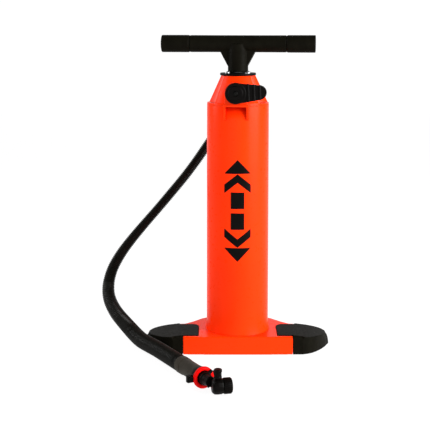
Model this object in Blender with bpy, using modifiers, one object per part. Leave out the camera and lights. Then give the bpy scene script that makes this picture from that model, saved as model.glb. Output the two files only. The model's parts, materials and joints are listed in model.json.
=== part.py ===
"""Double action hand pump: T-handle, barrel on a base with two feet, head with a mode lever, hose, adapter.

Metres, +Z up. The origin is on the floor under the barrel's axis; the mode lever is on the -Y side.
Air path: the piston works in an inner liner. Both chambers deliver through rubber band valves into the ring
space between liner and barrel, which opens into the hollow head and so to the rear elbow and the hose.
"""

import math

import bmesh
import bpy
from mathutils import Matrix, Vector

# ---------------------------------------------------------------- driving dimensions

GAP = 0.0003                 # space between two pieces that touch
ROUND = 32                   # sides of large turned pieces
SMALL_ROUND = 18             # sides of small turned pieces

BASE_TOP = 0.034
RIM_Z = 0.4664               # joint between barrel and head
HEAD_TOP = RIM_Z + 0.0527
BARREL_R = 0.058
BARREL_BORE_R = 0.0548
LINER_OUT_R = 0.0515
LINER_BORE_R = 0.0500
PLATE_LOW = RIM_Z - 0.0120   # head valve plate, which closes the liner's top

ROD_R = 0.0110
ROD_BORE_R = 0.0095
ROD_HOLE_R = 0.0114          # every hole that the rod turns and slides in
ROD_LOW = 0.0585             # the rod's lower end with the handle down
ROD_TOP = RIM_Z + 0.1040
PISTON_R = 0.0480

HEAD_YAW = math.radians(-4.7)    # head and bracket are turned a little about the barrel
FLUTE_AZIMUTHS = (28.7, 118.7, 208.7, 298.7)
PORT_Z = RIM_Z + 0.0238      # mode lever's axis
PORT_FACE = 0.0663           # how far the lever's boss stands out from the pump's axis
BOSS_HALF_WIDTH = 0.0205
DUCT_Y = -0.0320             # intake duct between the lever's boss and the head valve plate
OUTLET_Z = RIM_Z + 0.0230
OUTLET_FACE = 0.0645

FLANGE_R = 0.0336
FLANGE_LOW = RIM_Z + 0.0530
FLANGE_HIGH = RIM_Z + 0.0590
GLAND_SCREW_CIRCLE = 0.0264

HANDLE_Z = RIM_Z + 0.1113
HANDLE_YAW = math.radians(-8.0)
HANDLE_R = 0.0157
GRIP_R = 0.0161
GRIP_START = 0.0903
HANDLE_HALF = 0.1436
HUB_R = 0.0190
HUB_LOW = RIM_Z + 0.0595
PIN_Z = RIM_Z + 0.0810

FOOT_TIP = 0.1769
JOINT_FRONT = (0.1028, -0.0645)  # base and foot meet along the line between these two points
JOINT_REAR = (0.1115, 0.0215)
TONGUE_LOW = 0.0300
TONGUE_HIGH = 0.0350
POCKET_TOP = 0.0245
FOOT_SCREW_X = 0.0870
FOOT_SCREW_YS = (-0.040, -0.010)

HOSE_THIN_R = 0.0094     # where it hangs stretched
HOSE_THICK_R = 0.0150    # where it lies on the floor
ELBOW_ANGLE = math.radians(64.0)     # how far below the horizontal the elbow points
FITTING_START = Vector((-0.1020, -0.1645, 0.0160))
RING_CENTRE = Vector((-0.0625, -0.2422, 0.0195))

# Free stretch of the hose, from the elbow to the cuff: x, y, z.
HOSE_POINTS = (
    (-0.0255, 0.0985, 0.4255),
    (-0.0420, 0.0995, 0.4005),
    (-0.0585, 0.1005, 0.3755),
    (-0.0810, 0.1015, 0.3425),
    (-0.1050, 0.1015, 0.3105),
    (-0.1305, 0.1015, 0.2795),
    (-0.1565, 0.1010, 0.2485),
    (-0.1825, 0.1005, 0.2185),
    (-0.2085, 0.0995, 0.1875),
    (-0.2270, 0.0975, 0.1635),
    (-0.2380, 0.0960, 0.1465),
    (-0.2475, 0.0935, 0.1290),
    (-0.2540, 0.0895, 0.1105),
    (-0.2570, 0.0840, 0.0920),
    (-0.2555, 0.0775, 0.0740),
    (-0.2495, 0.0700, 0.0590),
    (-0.2380, 0.0595, 0.0430),
    (-0.2240, 0.0470, 0.0305),
    (-0.2105, 0.0300, 0.0215),
    (-0.2000, 0.0105, 0.0175),
    (-0.1910, -0.0095, 0.0160),
    (-0.1810, -0.0300, 0.0155),
    (-0.1670, -0.0525, 0.0155),
    (-0.1505, -0.0780, 0.0155),
    (-0.1350, -0.1050, 0.0155),
    (-0.1205, -0.1305, 0.0155),
)

# ---------------------------------------------------------------- scene, finishes, placing


def clear_scene():
    for obj in list(bpy.data.objects):
        bpy.data.objects.remove(obj, do_unlink=True)


def new_collection(name):
    collection = bpy.data.collections.new(name)
    bpy.context.scene.collection.children.link(collection)
    return collection


def finish(name, color, roughness, metallic=0.0):
    material = bpy.data.materials.new(name)
    material.use_nodes = True
    shader = material.node_tree.nodes["Principled BSDF"]
    shader.inputs["Base Color"].default_value = (*color, 1.0)
    shader.inputs["Roughness"].default_value = roughness
    shader.inputs["Metallic"].default_value = metallic
    material.diffuse_color = (*color, 1.0)
    return material


clear_scene()
PARTS = new_collection("double_action_hand_pump")
CUTTERS = new_collection("cutters")

ORANGE = finish("orange_plastic", (0.95, 0.10, 0.02), 0.30)
BLACK = finish("black_plastic", (0.015, 0.014, 0.013), 0.45)
GRIP = finish("grip_plastic", (0.020, 0.019, 0.018), 0.60)
HOSE = finish("hose_plastic", (0.018, 0.018, 0.017), 0.42)
RED = finish("red_rubber", (0.75, 0.02, 0.02), 0.50)
RUBBER = finish("seal_rubber", (0.02, 0.02, 0.02), 0.70)
LINER = finish("liner_plastic", (0.55, 0.55, 0.53), 0.35)
WHITE = finish("acetal", (0.80, 0.79, 0.75), 0.40)
STEEL = finish("steel", (0.60, 0.60, 0.62), 0.30, 1.0)
BLACK_STEEL = finish("black_steel", (0.03, 0.03, 0.03), 0.40, 1.0)
ALUMINIUM = finish("aluminium", (0.72, 0.72, 0.74), 0.35, 1.0)


def place(obj, material, parent=None, matrix=None, cutter=False):
    """Link an object as a node, or as a cutter, with its matrix given in its parent's space."""
    (CUTTERS if cutter else PARTS).objects.link(obj)
    obj.parent = parent
    obj.matrix_local = matrix or Matrix.Identity(4)
    if cutter:
        obj.hide_render = True
        obj.display_type = "WIRE"
    else:
        obj.data.materials.append(material)
    return obj


def axis_empty(name, matrix):
    empty = bpy.data.objects.new(name, None)
    PARTS.objects.link(empty)
    empty.matrix_world = matrix
    return empty


def along(direction, origin=(0, 0, 0)):
    """Matrix whose local Z runs along a direction."""
    turn = Vector((0, 0, 1)).rotation_difference(Vector(direction)).to_matrix().to_4x4()
    return Matrix.Translation(origin) @ turn


def shift(x=0.0, y=0.0, z=0.0):
    return Matrix.Translation((x, y, z))


def about_z(angle):
    return Matrix.Rotation(angle, 4, "Z")


FRONT = Matrix.Rotation(math.radians(90), 4, "X")    # local Z towards -Y, local Y up
REAR = about_z(math.pi) @ FRONT                      # local Z towards +Y, local Y up
ACROSS = Matrix.Rotation(math.radians(90), 4, "Y")   # local Z towards +X
FLIPPED = Matrix.Rotation(math.pi, 4, "X")           # local Z down
HEAD_AXIS = axis_empty("head_axis", about_z(HEAD_YAW))


# ---------------------------------------------------------------- shapes


def arc(centre, radius, start, end, steps):
    """Points on a circle from one angle to another, in degrees, both ends included."""
    angles = (math.radians(start + (end - start) * i / steps) for i in range(steps + 1))
    return [(centre[0] + radius * math.cos(a), centre[1] + radius * math.sin(a)) for a in angles]


def turned(name, profile, material=None, parent=None, matrix=None, steps=ROUND, cutter=False):
    """Turn a profile of (radius, z) about local Z. It runs down the outer side, and up again inside."""
    mesh = bpy.data.meshes.new(name)
    edges = [(i, i + 1) for i in range(len(profile) - 1)]
    if profile[0][0] > 0:
        edges.append((len(profile) - 1, 0))
    mesh.from_pydata([(r, 0.0, z) for r, z in profile], edges, [])
    obj = place(bpy.data.objects.new(name, mesh), material, parent, matrix, cutter)
    screw = obj.modifiers.new("turn", "SCREW")
    screw.steps = steps
    screw.render_steps = steps
    screw.use_merge_vertices = True
    screw.merge_threshold = 0.00001
    screw.use_smooth_shade = True
    return obj


def ring_profile(inner, outer, low, high):
    return [(outer, high), (outer, low), (inner, low), (inner, high)]


def cord_ring_profile(radius, section, z, sides=6):
    return arc((radius, z), section, 90, 90 - 360 * (sides - 1) / sides, sides - 1)


def on_side(data, side):
    """Mirror a bmesh modelled on the right to the left when side is -1."""
    bmesh.ops.transform(data, matrix=Matrix.Diagonal((side, 1, 1, 1)), verts=data.verts)
    return data


def solid(name, mesh_data, material=None, parent=None, matrix=None, cutter=False):
    """Make an object from a bmesh and free it."""
    mesh = bpy.data.meshes.new(name)
    bmesh.ops.recalc_face_normals(mesh_data, faces=mesh_data.faces)
    if mesh_data.calc_volume(signed=True) < 0:
        bmesh.ops.reverse_faces(mesh_data, faces=mesh_data.faces)
    mesh_data.to_mesh(mesh)
    mesh_data.free()
    return place(bpy.data.objects.new(name, mesh), material, parent, matrix, cutter)


def rod_mesh(radius, low, high, sides=SMALL_ROUND, top_radius=None):
    """A cylinder or cone along local Z between two heights."""
    data = bmesh.new()
    bmesh.ops.create_cone(
        data, cap_ends=True, segments=sides, radius1=radius, radius2=top_radius or radius, depth=high - low,
        matrix=shift(z=(low + high) / 2))
    return data


def box_mesh(low, high):
    data = bmesh.new()
    size = [b - a for a, b in zip(low, high)]
    centre = [(a + b) / 2 for a, b in zip(low, high)]
    bmesh.ops.create_cube(data, size=1.0, matrix=Matrix.Translation(centre) @ Matrix.Diagonal((*size, 1.0)))
    return data


def outline_mesh(outline, low, high):
    """The prism of a flat outline between two heights on local Z."""
    curve = bpy.data.curves.new("outline", "CURVE")
    curve.dimensions = "2D"
    curve.fill_mode = "BOTH"
    curve.extrude = (high - low) / 2
    spline = curve.splines.new("POLY")
    spline.points.add(len(outline) - 1)
    for point, (x, y) in zip(spline.points, outline):
        point.co = (x, y, 0.0, 1.0)
    spline.use_cyclic_u = True
    data = curve_mesh(curve)
    bmesh.ops.dissolve_limit(data, angle_limit=0.001, verts=data.verts, edges=data.edges)
    bmesh.ops.translate(data, verts=data.verts, vec=(0, 0, (low + high) / 2))
    return data


def curve_mesh(curve):
    """Turn a curve into a welded bmesh and remove the curve."""
    holder = bpy.data.objects.new("curve_holder", curve)
    CUTTERS.objects.link(holder)
    bpy.context.view_layer.update()
    evaluated = holder.evaluated_get(bpy.context.evaluated_depsgraph_get())
    mesh = bpy.data.meshes.new_from_object(evaluated)
    data = bmesh.new()
    data.from_mesh(mesh)
    bmesh.ops.remove_doubles(data, verts=data.verts, dist=0.00001)
    bpy.data.objects.remove(holder)
    bpy.data.curves.remove(curve)
    bpy.data.meshes.remove(mesh)
    return data


def round_edges(data, chosen, width, segments):
    """Bevel the edges for which chosen(first end, second end) holds."""
    edges = [e for e in data.edges if chosen(e.verts[0].co, e.verts[1].co)]
    bmesh.ops.bevel(data, geom=edges, offset=width, segments=segments, profile=0.5, affect="EDGES")


def boolean(target, cutter, operation):
    modifier = target.modifiers.new(cutter.name, "BOOLEAN")
    modifier.operation = operation
    modifier.solver = "EXACT"
    modifier.object = cutter
    return target


def cut(target, *cutters):
    for cutter in cutters:
        boolean(target, cutter, "DIFFERENCE")


def join(target, *others):
    for other in others:
        boolean(target, other, "UNION")


def hole(name, radius, low, high, parent=None, matrix=None, sides=16):
    """A drill along local Z, twisted a little so that its edges miss the corners of what it cuts."""
    data = rod_mesh(radius, low, high, sides)
    bmesh.ops.transform(data, matrix=about_z(math.radians(5.0)), verts=data.verts)
    return solid(name, data, parent=parent, matrix=matrix, cutter=True)


def screw(name, head_r, head_h, shank_r, shank_l, parent=None, matrix=None, material=STEEL):
    """Domed screw: its head's seat is at local z = 0, the head is above and the shank below."""
    profile = [
        (0.0, head_h), (head_r, head_h * 0.4), (head_r, 0.0), (shank_r, 0.0), (shank_r, -shank_l),
        (0.0, -shank_l)]
    return turned(name, profile, material, parent, matrix, steps=8)


def circle_places(radius, count, first=45.0):
    """Points evenly spaced on a circle about Z."""
    angles = (math.radians(first + 360.0 * i / count) for i in range(count))
    return [(radius * math.cos(a), radius * math.sin(a)) for a in angles]


def merged(meshes):
    """One bmesh that holds several, each moved by its own matrix. Their bodies stay apart."""
    whole = bmesh.new()
    for data, matrix in meshes:
        bmesh.ops.transform(data, matrix=matrix, verts=data.verts)
        mesh = bpy.data.meshes.new("piece")
        data.to_mesh(mesh)
        data.free()
        whole.from_mesh(mesh)
        bpy.data.meshes.remove(mesh)
    return whole


# ---------------------------------------------------------------- barrel and liner


def make_bracket():
    """Top plate and two tapering ribs, in the head's turned frame."""
    front = -0.0668
    plate_low, plate_high = RIM_Z - 0.0016, RIM_Z + 0.0027
    rib_end = RIM_Z - 0.0255
    rib_thickness = 0.0036
    half = 0.0228
    bracket = solid("bracket", box_mesh((-half, front, plate_low), (half, -0.045, plate_high)),
                    parent=HEAD_AXIS, cutter=True)
    side = [(-0.045, plate_low + 0.001), (front, plate_low + 0.001), (-0.0578, rib_end), (-0.045, rib_end)]
    for name, x in (("rib_left", -half), ("rib_right", half - rib_thickness)):
        turn = Matrix(((0, 0, 1, 0), (1, 0, 0, 0), (0, 1, 0, 0), (0, 0, 0, 1)))
        rib = solid(name, outline_mesh(side, x + 0.00001, x + rib_thickness - 0.00001), parent=HEAD_AXIS,
                    matrix=turn, cutter=True)
        join(bracket, rib)
    cut(bracket, hole("bracket_bore", 0.0563, RIM_Z - 0.05, RIM_Z + 0.01, sides=ROUND))
    cut(bracket, hole("bracket_head_room", BARREL_R + GAP, RIM_Z - 0.0008, RIM_Z + 0.01, sides=ROUND))
    return bracket


def make_barrel():
    top = RIM_Z - 0.0008
    profile = [
        (BARREL_R - 0.0005, top), (BARREL_R, top - 0.0005), (0.0589, 0.060), (0.0593, 0.050),
        (0.0600, 0.0415), (0.0612, BASE_TOP + GAP), (BARREL_BORE_R, BASE_TOP + GAP), (BARREL_BORE_R, top)]
    barrel = turned("barrel", profile, ORANGE)
    join(barrel, make_bracket())
    for i, (x, y) in enumerate(circle_places(0.0580, 4)):
        cut(barrel, hole(f"barrel_screw_hole_{i}", 0.0016, 0.030, 0.0445, matrix=shift(x, y)))


def make_liner():
    """Thin tube with a ring of outlet holes at each end, closed from outside by rubber bands."""
    low, high = 0.0496, PLATE_LOW - GAP
    liner = turned("cylinder_liner", ring_profile(LINER_BORE_R, LINER_OUT_R, low, high), LINER)
    for name, z in (("low", 0.0555), ("high", RIM_Z - 0.0170)):
        drills = []
        for i in range(6):
            turn = about_z(math.radians(60 * i + 5)) @ shift(x=0.040, z=z) @ along((1, 0, 0))
            drills.append((rod_mesh(0.0020, 0.0, 0.02, 8), turn))
        cut(liner, solid(f"liner_holes_{name}", merged(drills), cutter=True))
    turned("lower_delivery_band", ring_profile(0.0518, 0.0530, 0.0515, 0.0595), RUBBER)
    turned("upper_delivery_band", ring_profile(0.0518, 0.0530, RIM_Z - 0.0210, RIM_Z - 0.0130), RUBBER)


# ---------------------------------------------------------------- head


def boss_outline(half_width, low):
    """Round-topped shield, in the plane across the lever's axis."""
    centre = (0.0, PORT_Z)
    return [(-half_width, low)] + [(half_width, low)] + arc(centre, half_width, 0, 180, 16)


CONE_FOOT = (0.0562, RIM_Z + 0.0057)


def make_flute(i, azimuth):
    """A shallow groove down the cone: the cutter is a cylinder that follows the cone's slope."""
    slope = math.atan2(CONE_FOOT[0] - 0.0335, HEAD_TOP - CONE_FOOT[1])
    outward = about_z(math.radians(azimuth)) @ shift(x=0.0716, z=RIM_Z + 0.0080)
    lean = Matrix.Rotation(-slope, 4, "Y")
    data = rod_mesh(0.0200, -0.001, 0.070, 20)
    return solid(f"flute_{i}", data, parent=HEAD_AXIS, matrix=outward @ lean, cutter=True)


def make_head():
    """Hollow cone with a tube for the rod, a duct to the lever at the front and an outlet at the rear."""
    tube_r, tube_bore_r, tube_low = 0.0172, 0.0140, RIM_Z - 0.0075
    spigot_r, spigot_bore_r, spigot_low = 0.0544, 0.0527, RIM_Z - 0.0060
    roof = RIM_Z + 0.0455
    band_r, band_low = 0.0575, RIM_Z + 0.0006
    profile = [
        (0.0335, HEAD_TOP), CONE_FOOT, (band_r, RIM_Z + 0.0042), (band_r, band_low), (spigot_r, band_low),
        (spigot_r, spigot_low), (spigot_bore_r, spigot_low), (spigot_bore_r, RIM_Z + 0.0025), (0.0300, roof),
        (tube_r, roof), (tube_r, tube_low), (tube_bore_r, tube_low), (tube_bore_r, HEAD_TOP)]
    head = turned("head_cap", profile, ORANGE, parent=HEAD_AXIS)
    for i, azimuth in enumerate(FLUTE_AZIMUTHS):
        cut(head, make_flute(i, azimuth))
    boss = solid("lever_boss", outline_mesh(boss_outline(BOSS_HALF_WIDTH, RIM_Z + 0.0031), 0.0215, PORT_FACE),
                 parent=HEAD_AXIS, matrix=FRONT, cutter=True)
    duct = solid("intake_duct", rod_mesh(0.0095, RIM_Z - 0.0074, RIM_Z + 0.0110, 20), parent=HEAD_AXIS,
                 matrix=shift(y=DUCT_Y), cutter=True)
    outlet = solid("outlet_boss", rod_mesh(0.0165, 0.0300, OUTLET_FACE), parent=HEAD_AXIS,
                   matrix=REAR @ shift(y=OUTLET_Z), cutter=True)
    join(head, boss, duct, outlet)
    cut(head, hole("lever_bore", 0.0125, 0.0250, 0.075, HEAD_AXIS, FRONT @ shift(y=PORT_Z), 24))
    cut(head, hole("duct_bore", 0.0065, RIM_Z - 0.0090, RIM_Z + 0.0210, HEAD_AXIS, shift(y=DUCT_Y)))
    cut(head, hole("outlet_bore", 0.0115, 0.0250, 0.070, HEAD_AXIS, REAR @ shift(y=OUTLET_Z), 24))
    for i, (x, y) in enumerate(circle_places(GLAND_SCREW_CIRCLE, 4)):
        cut(head, hole(f"gland_hole_{i}", 0.0021, RIM_Z + 0.0482, HEAD_TOP + 0.01, HEAD_AXIS, shift(x, y), 8))


def make_head_internals():
    turned("head_gasket", ring_profile(0.0550, 0.0571, RIM_Z - 0.0005, RIM_Z + 0.0003), RUBBER)
    thickness = 0.0040
    disc = ring_profile(ROD_HOLE_R, LINER_OUT_R, PLATE_LOW, PLATE_LOW + thickness)
    plate = turned("head_valve_plate", disc, BLACK, parent=HEAD_AXIS)
    low, high = PLATE_LOW - 0.01, PLATE_LOW + 0.01
    cut(plate, hole("plate_stem_hole", 0.0019, low, high, HEAD_AXIS, shift(y=DUCT_Y), 8))
    for i, (x, y) in enumerate(circle_places(0.0048, 5, 90.0)):
        cut(plate, hole(f"plate_air_hole_{i}", 0.0015, low, high, HEAD_AXIS, shift(x, y + DUCT_Y), 8))
    umbrella_valve("upper_intake_valve", 0.0090, thickness + 0.0002, HEAD_AXIS,
                   shift(y=DUCT_Y, z=PLATE_LOW) @ FLIPPED)
    bush = ring_profile(ROD_HOLE_R, 0.0137, RIM_Z + 0.0290, HEAD_TOP - GAP)
    turned("rod_bush", bush, WHITE, steps=SMALL_ROUND)
    low, high = RIM_Z - 0.0072, RIM_Z - 0.0020
    lip = [(0.0137, high), (0.0137, low), (ROD_HOLE_R, low), (ROD_HOLE_R, low + 0.0012), (0.0126, high)]
    turned("rod_seal", lip, RUBBER, steps=SMALL_ROUND)


def umbrella_valve(name, disc_r, plate_thickness, parent, matrix):
    """Rubber mushroom on a plate whose face is local z = 0: disc on the plate, stem through it."""
    stem_r = 0.0015
    tail = -plate_thickness - 0.0022
    profile = [
        (0.0, 0.0022), (disc_r * 0.4, 0.0020), (disc_r, 0.0010), (disc_r, GAP), (stem_r, GAP),
        (stem_r, -plate_thickness - GAP), (0.0026, -plate_thickness - GAP), (0.0, tail)]
    return turned(name, profile, RUBBER, parent, matrix, steps=12)


def make_gland():
    seat = FLANGE_HIGH - 0.0014
    flange = [
        (FLANGE_R - 0.0008, seat), (FLANGE_R, seat - 0.0012), (FLANGE_R, FLANGE_LOW),
        (ROD_HOLE_R, FLANGE_LOW), (ROD_HOLE_R, FLANGE_HIGH), (0.0195, FLANGE_HIGH), (0.0208, seat)]
    gland = turned("gland_flange", flange, BLACK, parent=HEAD_AXIS)
    for i, (x, y) in enumerate(circle_places(GLAND_SCREW_CIRCLE, 4)):
        low, high = FLANGE_LOW - 0.01, FLANGE_HIGH + 0.01
        cut(gland, hole(f"flange_hole_{i}", 0.0021, low, high, HEAD_AXIS, shift(x, y), 8))
        screw(f"gland_screw_{i + 1}", 0.0045, 0.0022, 0.0018, 0.0085, HEAD_AXIS, shift(x, y, seat + GAP))


# ---------------------------------------------------------------- mode lever


def lever_outline():
    """Two circles, hub and arm end, joined by their tangents; the arm points along +X."""
    hub_r, tip_r, reach = 0.0150, 0.0117, 0.0430
    lean = math.degrees(math.acos((hub_r - tip_r) / reach))
    return arc((0, 0), hub_r, lean, 360 - lean, 18) + arc((reach, 0), tip_r, -lean, lean, 10)


LEVER_AXIS = axis_empty("lever_axis", about_z(HEAD_YAW) @ FRONT @ shift(y=PORT_Z, z=PORT_FACE + 0.0008))


def make_lever():
    """Round hub with a ribbed thumb arm, its turning valve spool, its screw and its seal."""
    arm_tilt = about_z(math.radians(2.5))
    lever = solid("mode_lever", outline_mesh(lever_outline(), 0.0, 0.0100), BLACK, LEVER_AXIS, arm_tilt)
    hub = solid("lever_hub", rod_mesh(0.0178, 0.00001, 0.0135, 24), parent=LEVER_AXIS, matrix=arm_tilt,
                cutter=True)
    join(lever, hub)
    for i, (x, half) in enumerate(((0.0225, 0.0146), (0.0330, 0.0137), (0.0425, 0.0124))):
        rib_box = box_mesh((x - 0.0015, -half, 0.00002 * (i + 1)), (x + 0.0015, half, 0.0112))
        rib = solid(f"lever_rib_{i}", rib_box, parent=LEVER_AXIS, matrix=arm_tilt, cutter=True)
        join(lever, rib)
    cut(lever, hole("lever_screw_seat", 0.0050, 0.0115, 0.02, LEVER_AXIS))
    cut(lever, hole("lever_screw_hole", 0.0020, -0.01, 0.02, LEVER_AXIS, None, 12))
    cut(lever, hole("lever_stub_room", 0.0063, -0.01, 0.0040, LEVER_AXIS))
    screw("lever_screw", 0.0045, 0.0016, 0.0016, 0.0170, LEVER_AXIS, shift(z=0.0118), BLACK_STEEL)
    stub_r, stub_top, rotor_r, rotor_top, rotor_face = 0.0060, 0.0037, 0.0120, -0.0075, -0.0200
    spool = turned("valve_spool", [
        (0.0, stub_top), (stub_r, stub_top), (stub_r, rotor_top), (rotor_r, rotor_top), (rotor_r, rotor_face),
        (0.0, rotor_face)], BLACK, LEVER_AXIS, steps=SMALL_ROUND)
    cut(spool, hole("spool_screw_hole", 0.0020, -0.0075, 0.01, LEVER_AXIS, None, 12))
    window = box_mesh((-0.02, -0.02, -0.0185), (0.0, 0.02, -0.0100))
    cut(spool, solid("spool_window", window, parent=LEVER_AXIS, cutter=True))
    ring_place = LEVER_AXIS.matrix_world @ shift(z=-0.0040)
    turned("lever_seal_ring", ring_profile(0.0063, 0.0122, -0.0025, 0.0015), RUBBER,
           matrix=ring_place, steps=SMALL_ROUND)


# ---------------------------------------------------------------- piston, rod and handle


def make_piston():
    """Two plates clamped on the rod's end, each with its seal ring in the step between them."""
    low, split, high = 0.0580, 0.0700, 0.0820
    step_r = 0.0440
    land = 0.0040
    recess_r, recess_top = 0.0158, 0.0650
    turned("piston_lower_plate", [
        (step_r, split), (step_r, low + land), (PISTON_R, low + land), (PISTON_R, low), (recess_r, low),
        (recess_r, recess_top), (ROD_HOLE_R, recess_top), (ROD_HOLE_R, split)], BLACK)
    turned("piston_upper_plate", [
        (PISTON_R, high), (PISTON_R, high - land), (step_r, high - land), (step_r, split + GAP),
        (ROD_HOLE_R, split + GAP), (ROD_HOLE_R, high)], BLACK)
    inner, outer, lip = step_r + GAP, LINER_BORE_R - GAP, 0.0010
    for name, end, middle in (("lower", low + land + GAP, split - 0.0005),
                              ("upper", high - land - GAP, split + 0.0005)):
        seal = [(outer, middle), (outer - lip, end), (inner, end), (inner, middle)]
        turned(f"piston_seal_{name}", seal if end < middle else seal[::-1], RUBBER)
    washer = ring_profile(ROD_HOLE_R, 0.0180, high + GAP, high + 0.0021)
    turned("piston_washer", washer, STEEL, steps=SMALL_ROUND)


HANDLE_AXIS = axis_empty("handle_axis", shift(z=HANDLE_Z) @ about_z(HANDLE_YAW))


def make_rod():
    tube = ring_profile(ROD_BORE_R, ROD_R, ROD_LOW, ROD_TOP)
    rod = turned("piston_rod", tube, ALUMINIUM, steps=SMALL_ROUND)
    cut(rod, hole("rod_pin_hole", 0.0032, -0.03, 0.03, HANDLE_AXIS, shift(z=PIN_Z - HANDLE_Z) @ ACROSS))
    collar = ring_profile(ROD_HOLE_R, 0.0160, 0.0844, 0.0904)
    turned("rod_collar", collar, ALUMINIUM, steps=SMALL_ROUND)
    nut = solid("rod_nut", rod_mesh(0.0150, 0.0588, 0.0646, 6), STEEL)
    cut(nut, hole("nut_bore", ROD_HOLE_R, 0.05, 0.07, sides=32))
    plug_r, plug_low, plug_high = ROD_BORE_R - GAP, 0.0595, 0.0680
    turned("rod_plug", [(0.0, plug_high), (plug_r, plug_high), (plug_r, plug_low), (0.0, plug_low)], RUBBER,
           steps=SMALL_ROUND)


def make_handle():
    """Centre bar with a gusseted neck, an end grip on each side, and the pin that holds the rod."""
    drop = HUB_LOW - HANDLE_Z
    spigot_r, spigot_end = 0.0125, HANDLE_HALF - 0.0055
    bar_end = GRIP_START - GAP
    profile = [
        (0.0, spigot_end), (spigot_r, spigot_end), (spigot_r, bar_end), (GRIP_R - 0.0008, bar_end),
        (GRIP_R, bar_end - 0.0012), (HANDLE_R, 0.030), (HANDLE_R, -0.030), (GRIP_R, 0.0012 - bar_end),
        (GRIP_R - 0.0008, -bar_end), (spigot_r, -bar_end), (spigot_r, -spigot_end), (0.0, -spigot_end)]
    bar = turned("handle_bar", profile, GRIP, HANDLE_AXIS, ACROSS, steps=SMALL_ROUND)
    neck = solid("handle_neck", rod_mesh(HUB_R, drop, 0.0, 32), parent=HANDLE_AXIS, cutter=True)
    top, half_top = drop + 0.0400, 0.0340
    bottom, half_bottom = drop + 0.0110, HUB_R - 0.0005
    gusset_shape = [(half_bottom, bottom), (half_top, top), (-half_top, top), (-half_bottom, bottom)]
    gusset = solid("handle_gusset", outline_mesh(gusset_shape, -0.0095, 0.0095), parent=HANDLE_AXIS,
                   matrix=FRONT, cutter=True)
    join(bar, neck, gusset)
    cut(bar, hole("rod_socket", ROD_HOLE_R, drop - 0.01, ROD_TOP + 0.0005 - HANDLE_Z, HANDLE_AXIS, None, 32))
    cut(bar, hole("pin_hole", 0.0032, -0.05, 0.05, HANDLE_AXIS, shift(z=PIN_Z - HANDLE_Z) @ ACROSS))
    pin = rod_mesh(0.0029, -0.0225, 0.0225, 16)
    solid("handle_pin", pin, STEEL, HANDLE_AXIS, shift(z=PIN_Z - HANDLE_Z) @ ACROSS)
    grip = [
        (0.0, HANDLE_HALF), (GRIP_R - 0.002, HANDLE_HALF), (GRIP_R - 0.0006, HANDLE_HALF - 0.0006),
        (GRIP_R, HANDLE_HALF - 0.002), (GRIP_R, GRIP_START + 0.0020), (GRIP_R - 0.0008, GRIP_START + 0.0012),
        (GRIP_R - 0.0008, GRIP_START), (spigot_r + GAP, GRIP_START), (spigot_r + GAP, spigot_end + GAP),
        (0.0, spigot_end + GAP)]
    turned("grip_right", grip, GRIP, HANDLE_AXIS, ACROSS, steps=SMALL_ROUND)
    turned("grip_left", grip, GRIP, HANDLE_AXIS, about_z(math.pi) @ ACROSS, steps=SMALL_ROUND)


# ---------------------------------------------------------------- base


def mirrored(points):
    """Closed outline from its right half, given from the front to the rear."""
    return points + [(-x, y) for x, y in reversed(points) if x > GAP]


def base_outline():
    front = [(0.0, -0.0665), (0.0500, -0.0661)]
    shoulder = [(0.1017, 0.0217), (0.0850, 0.0380), (0.0685, 0.0580)]
    back = [(0.0600, 0.0635), (0.0480, 0.0660), (0.0, 0.0665)]
    return mirrored(front + [JOINT_FRONT, JOINT_REAR] + shoulder + back)


def tongue_outline(grow):
    """Plan of a foot's tongue on the base, on the right side, made larger by grow."""
    inner, front, rear, corner = 0.0749 - grow, -0.0570 - grow, 0.0160 + grow, 0.0140
    outer = JOINT_REAR[0] + 0.0015
    inner_corner = arc((inner + corner, rear - corner), corner, 180, 90, 5)
    return [(outer, front), (inner, front)] + inner_corner + [(outer, rear)]


def make_pockets():
    """Hollows under the base, between its side walls and a cross of ribs, left and right."""
    rib = 0.004
    front = [(rib, -0.0610), (0.0980, -0.0600), (0.1035, -rib), (rib, -rib)]
    rear = [(rib, rib), (0.1040, rib), (0.1055, 0.0160), (0.0985, 0.0165), (0.0820, 0.0325), (0.0655, 0.0520)]
    rear += [(0.0570, 0.0580), (0.0450, 0.0605), (rib, 0.0610)]
    pockets = []
    for side in (1, -1):
        mirror = Matrix.Diagonal((side, 1, 1, 1))
        for outline in (front, rear):
            pockets.append((outline_mesh(outline, -0.01, POCKET_TOP), mirror))
    return solid("base_pockets", merged(pockets), cutter=True)


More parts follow.
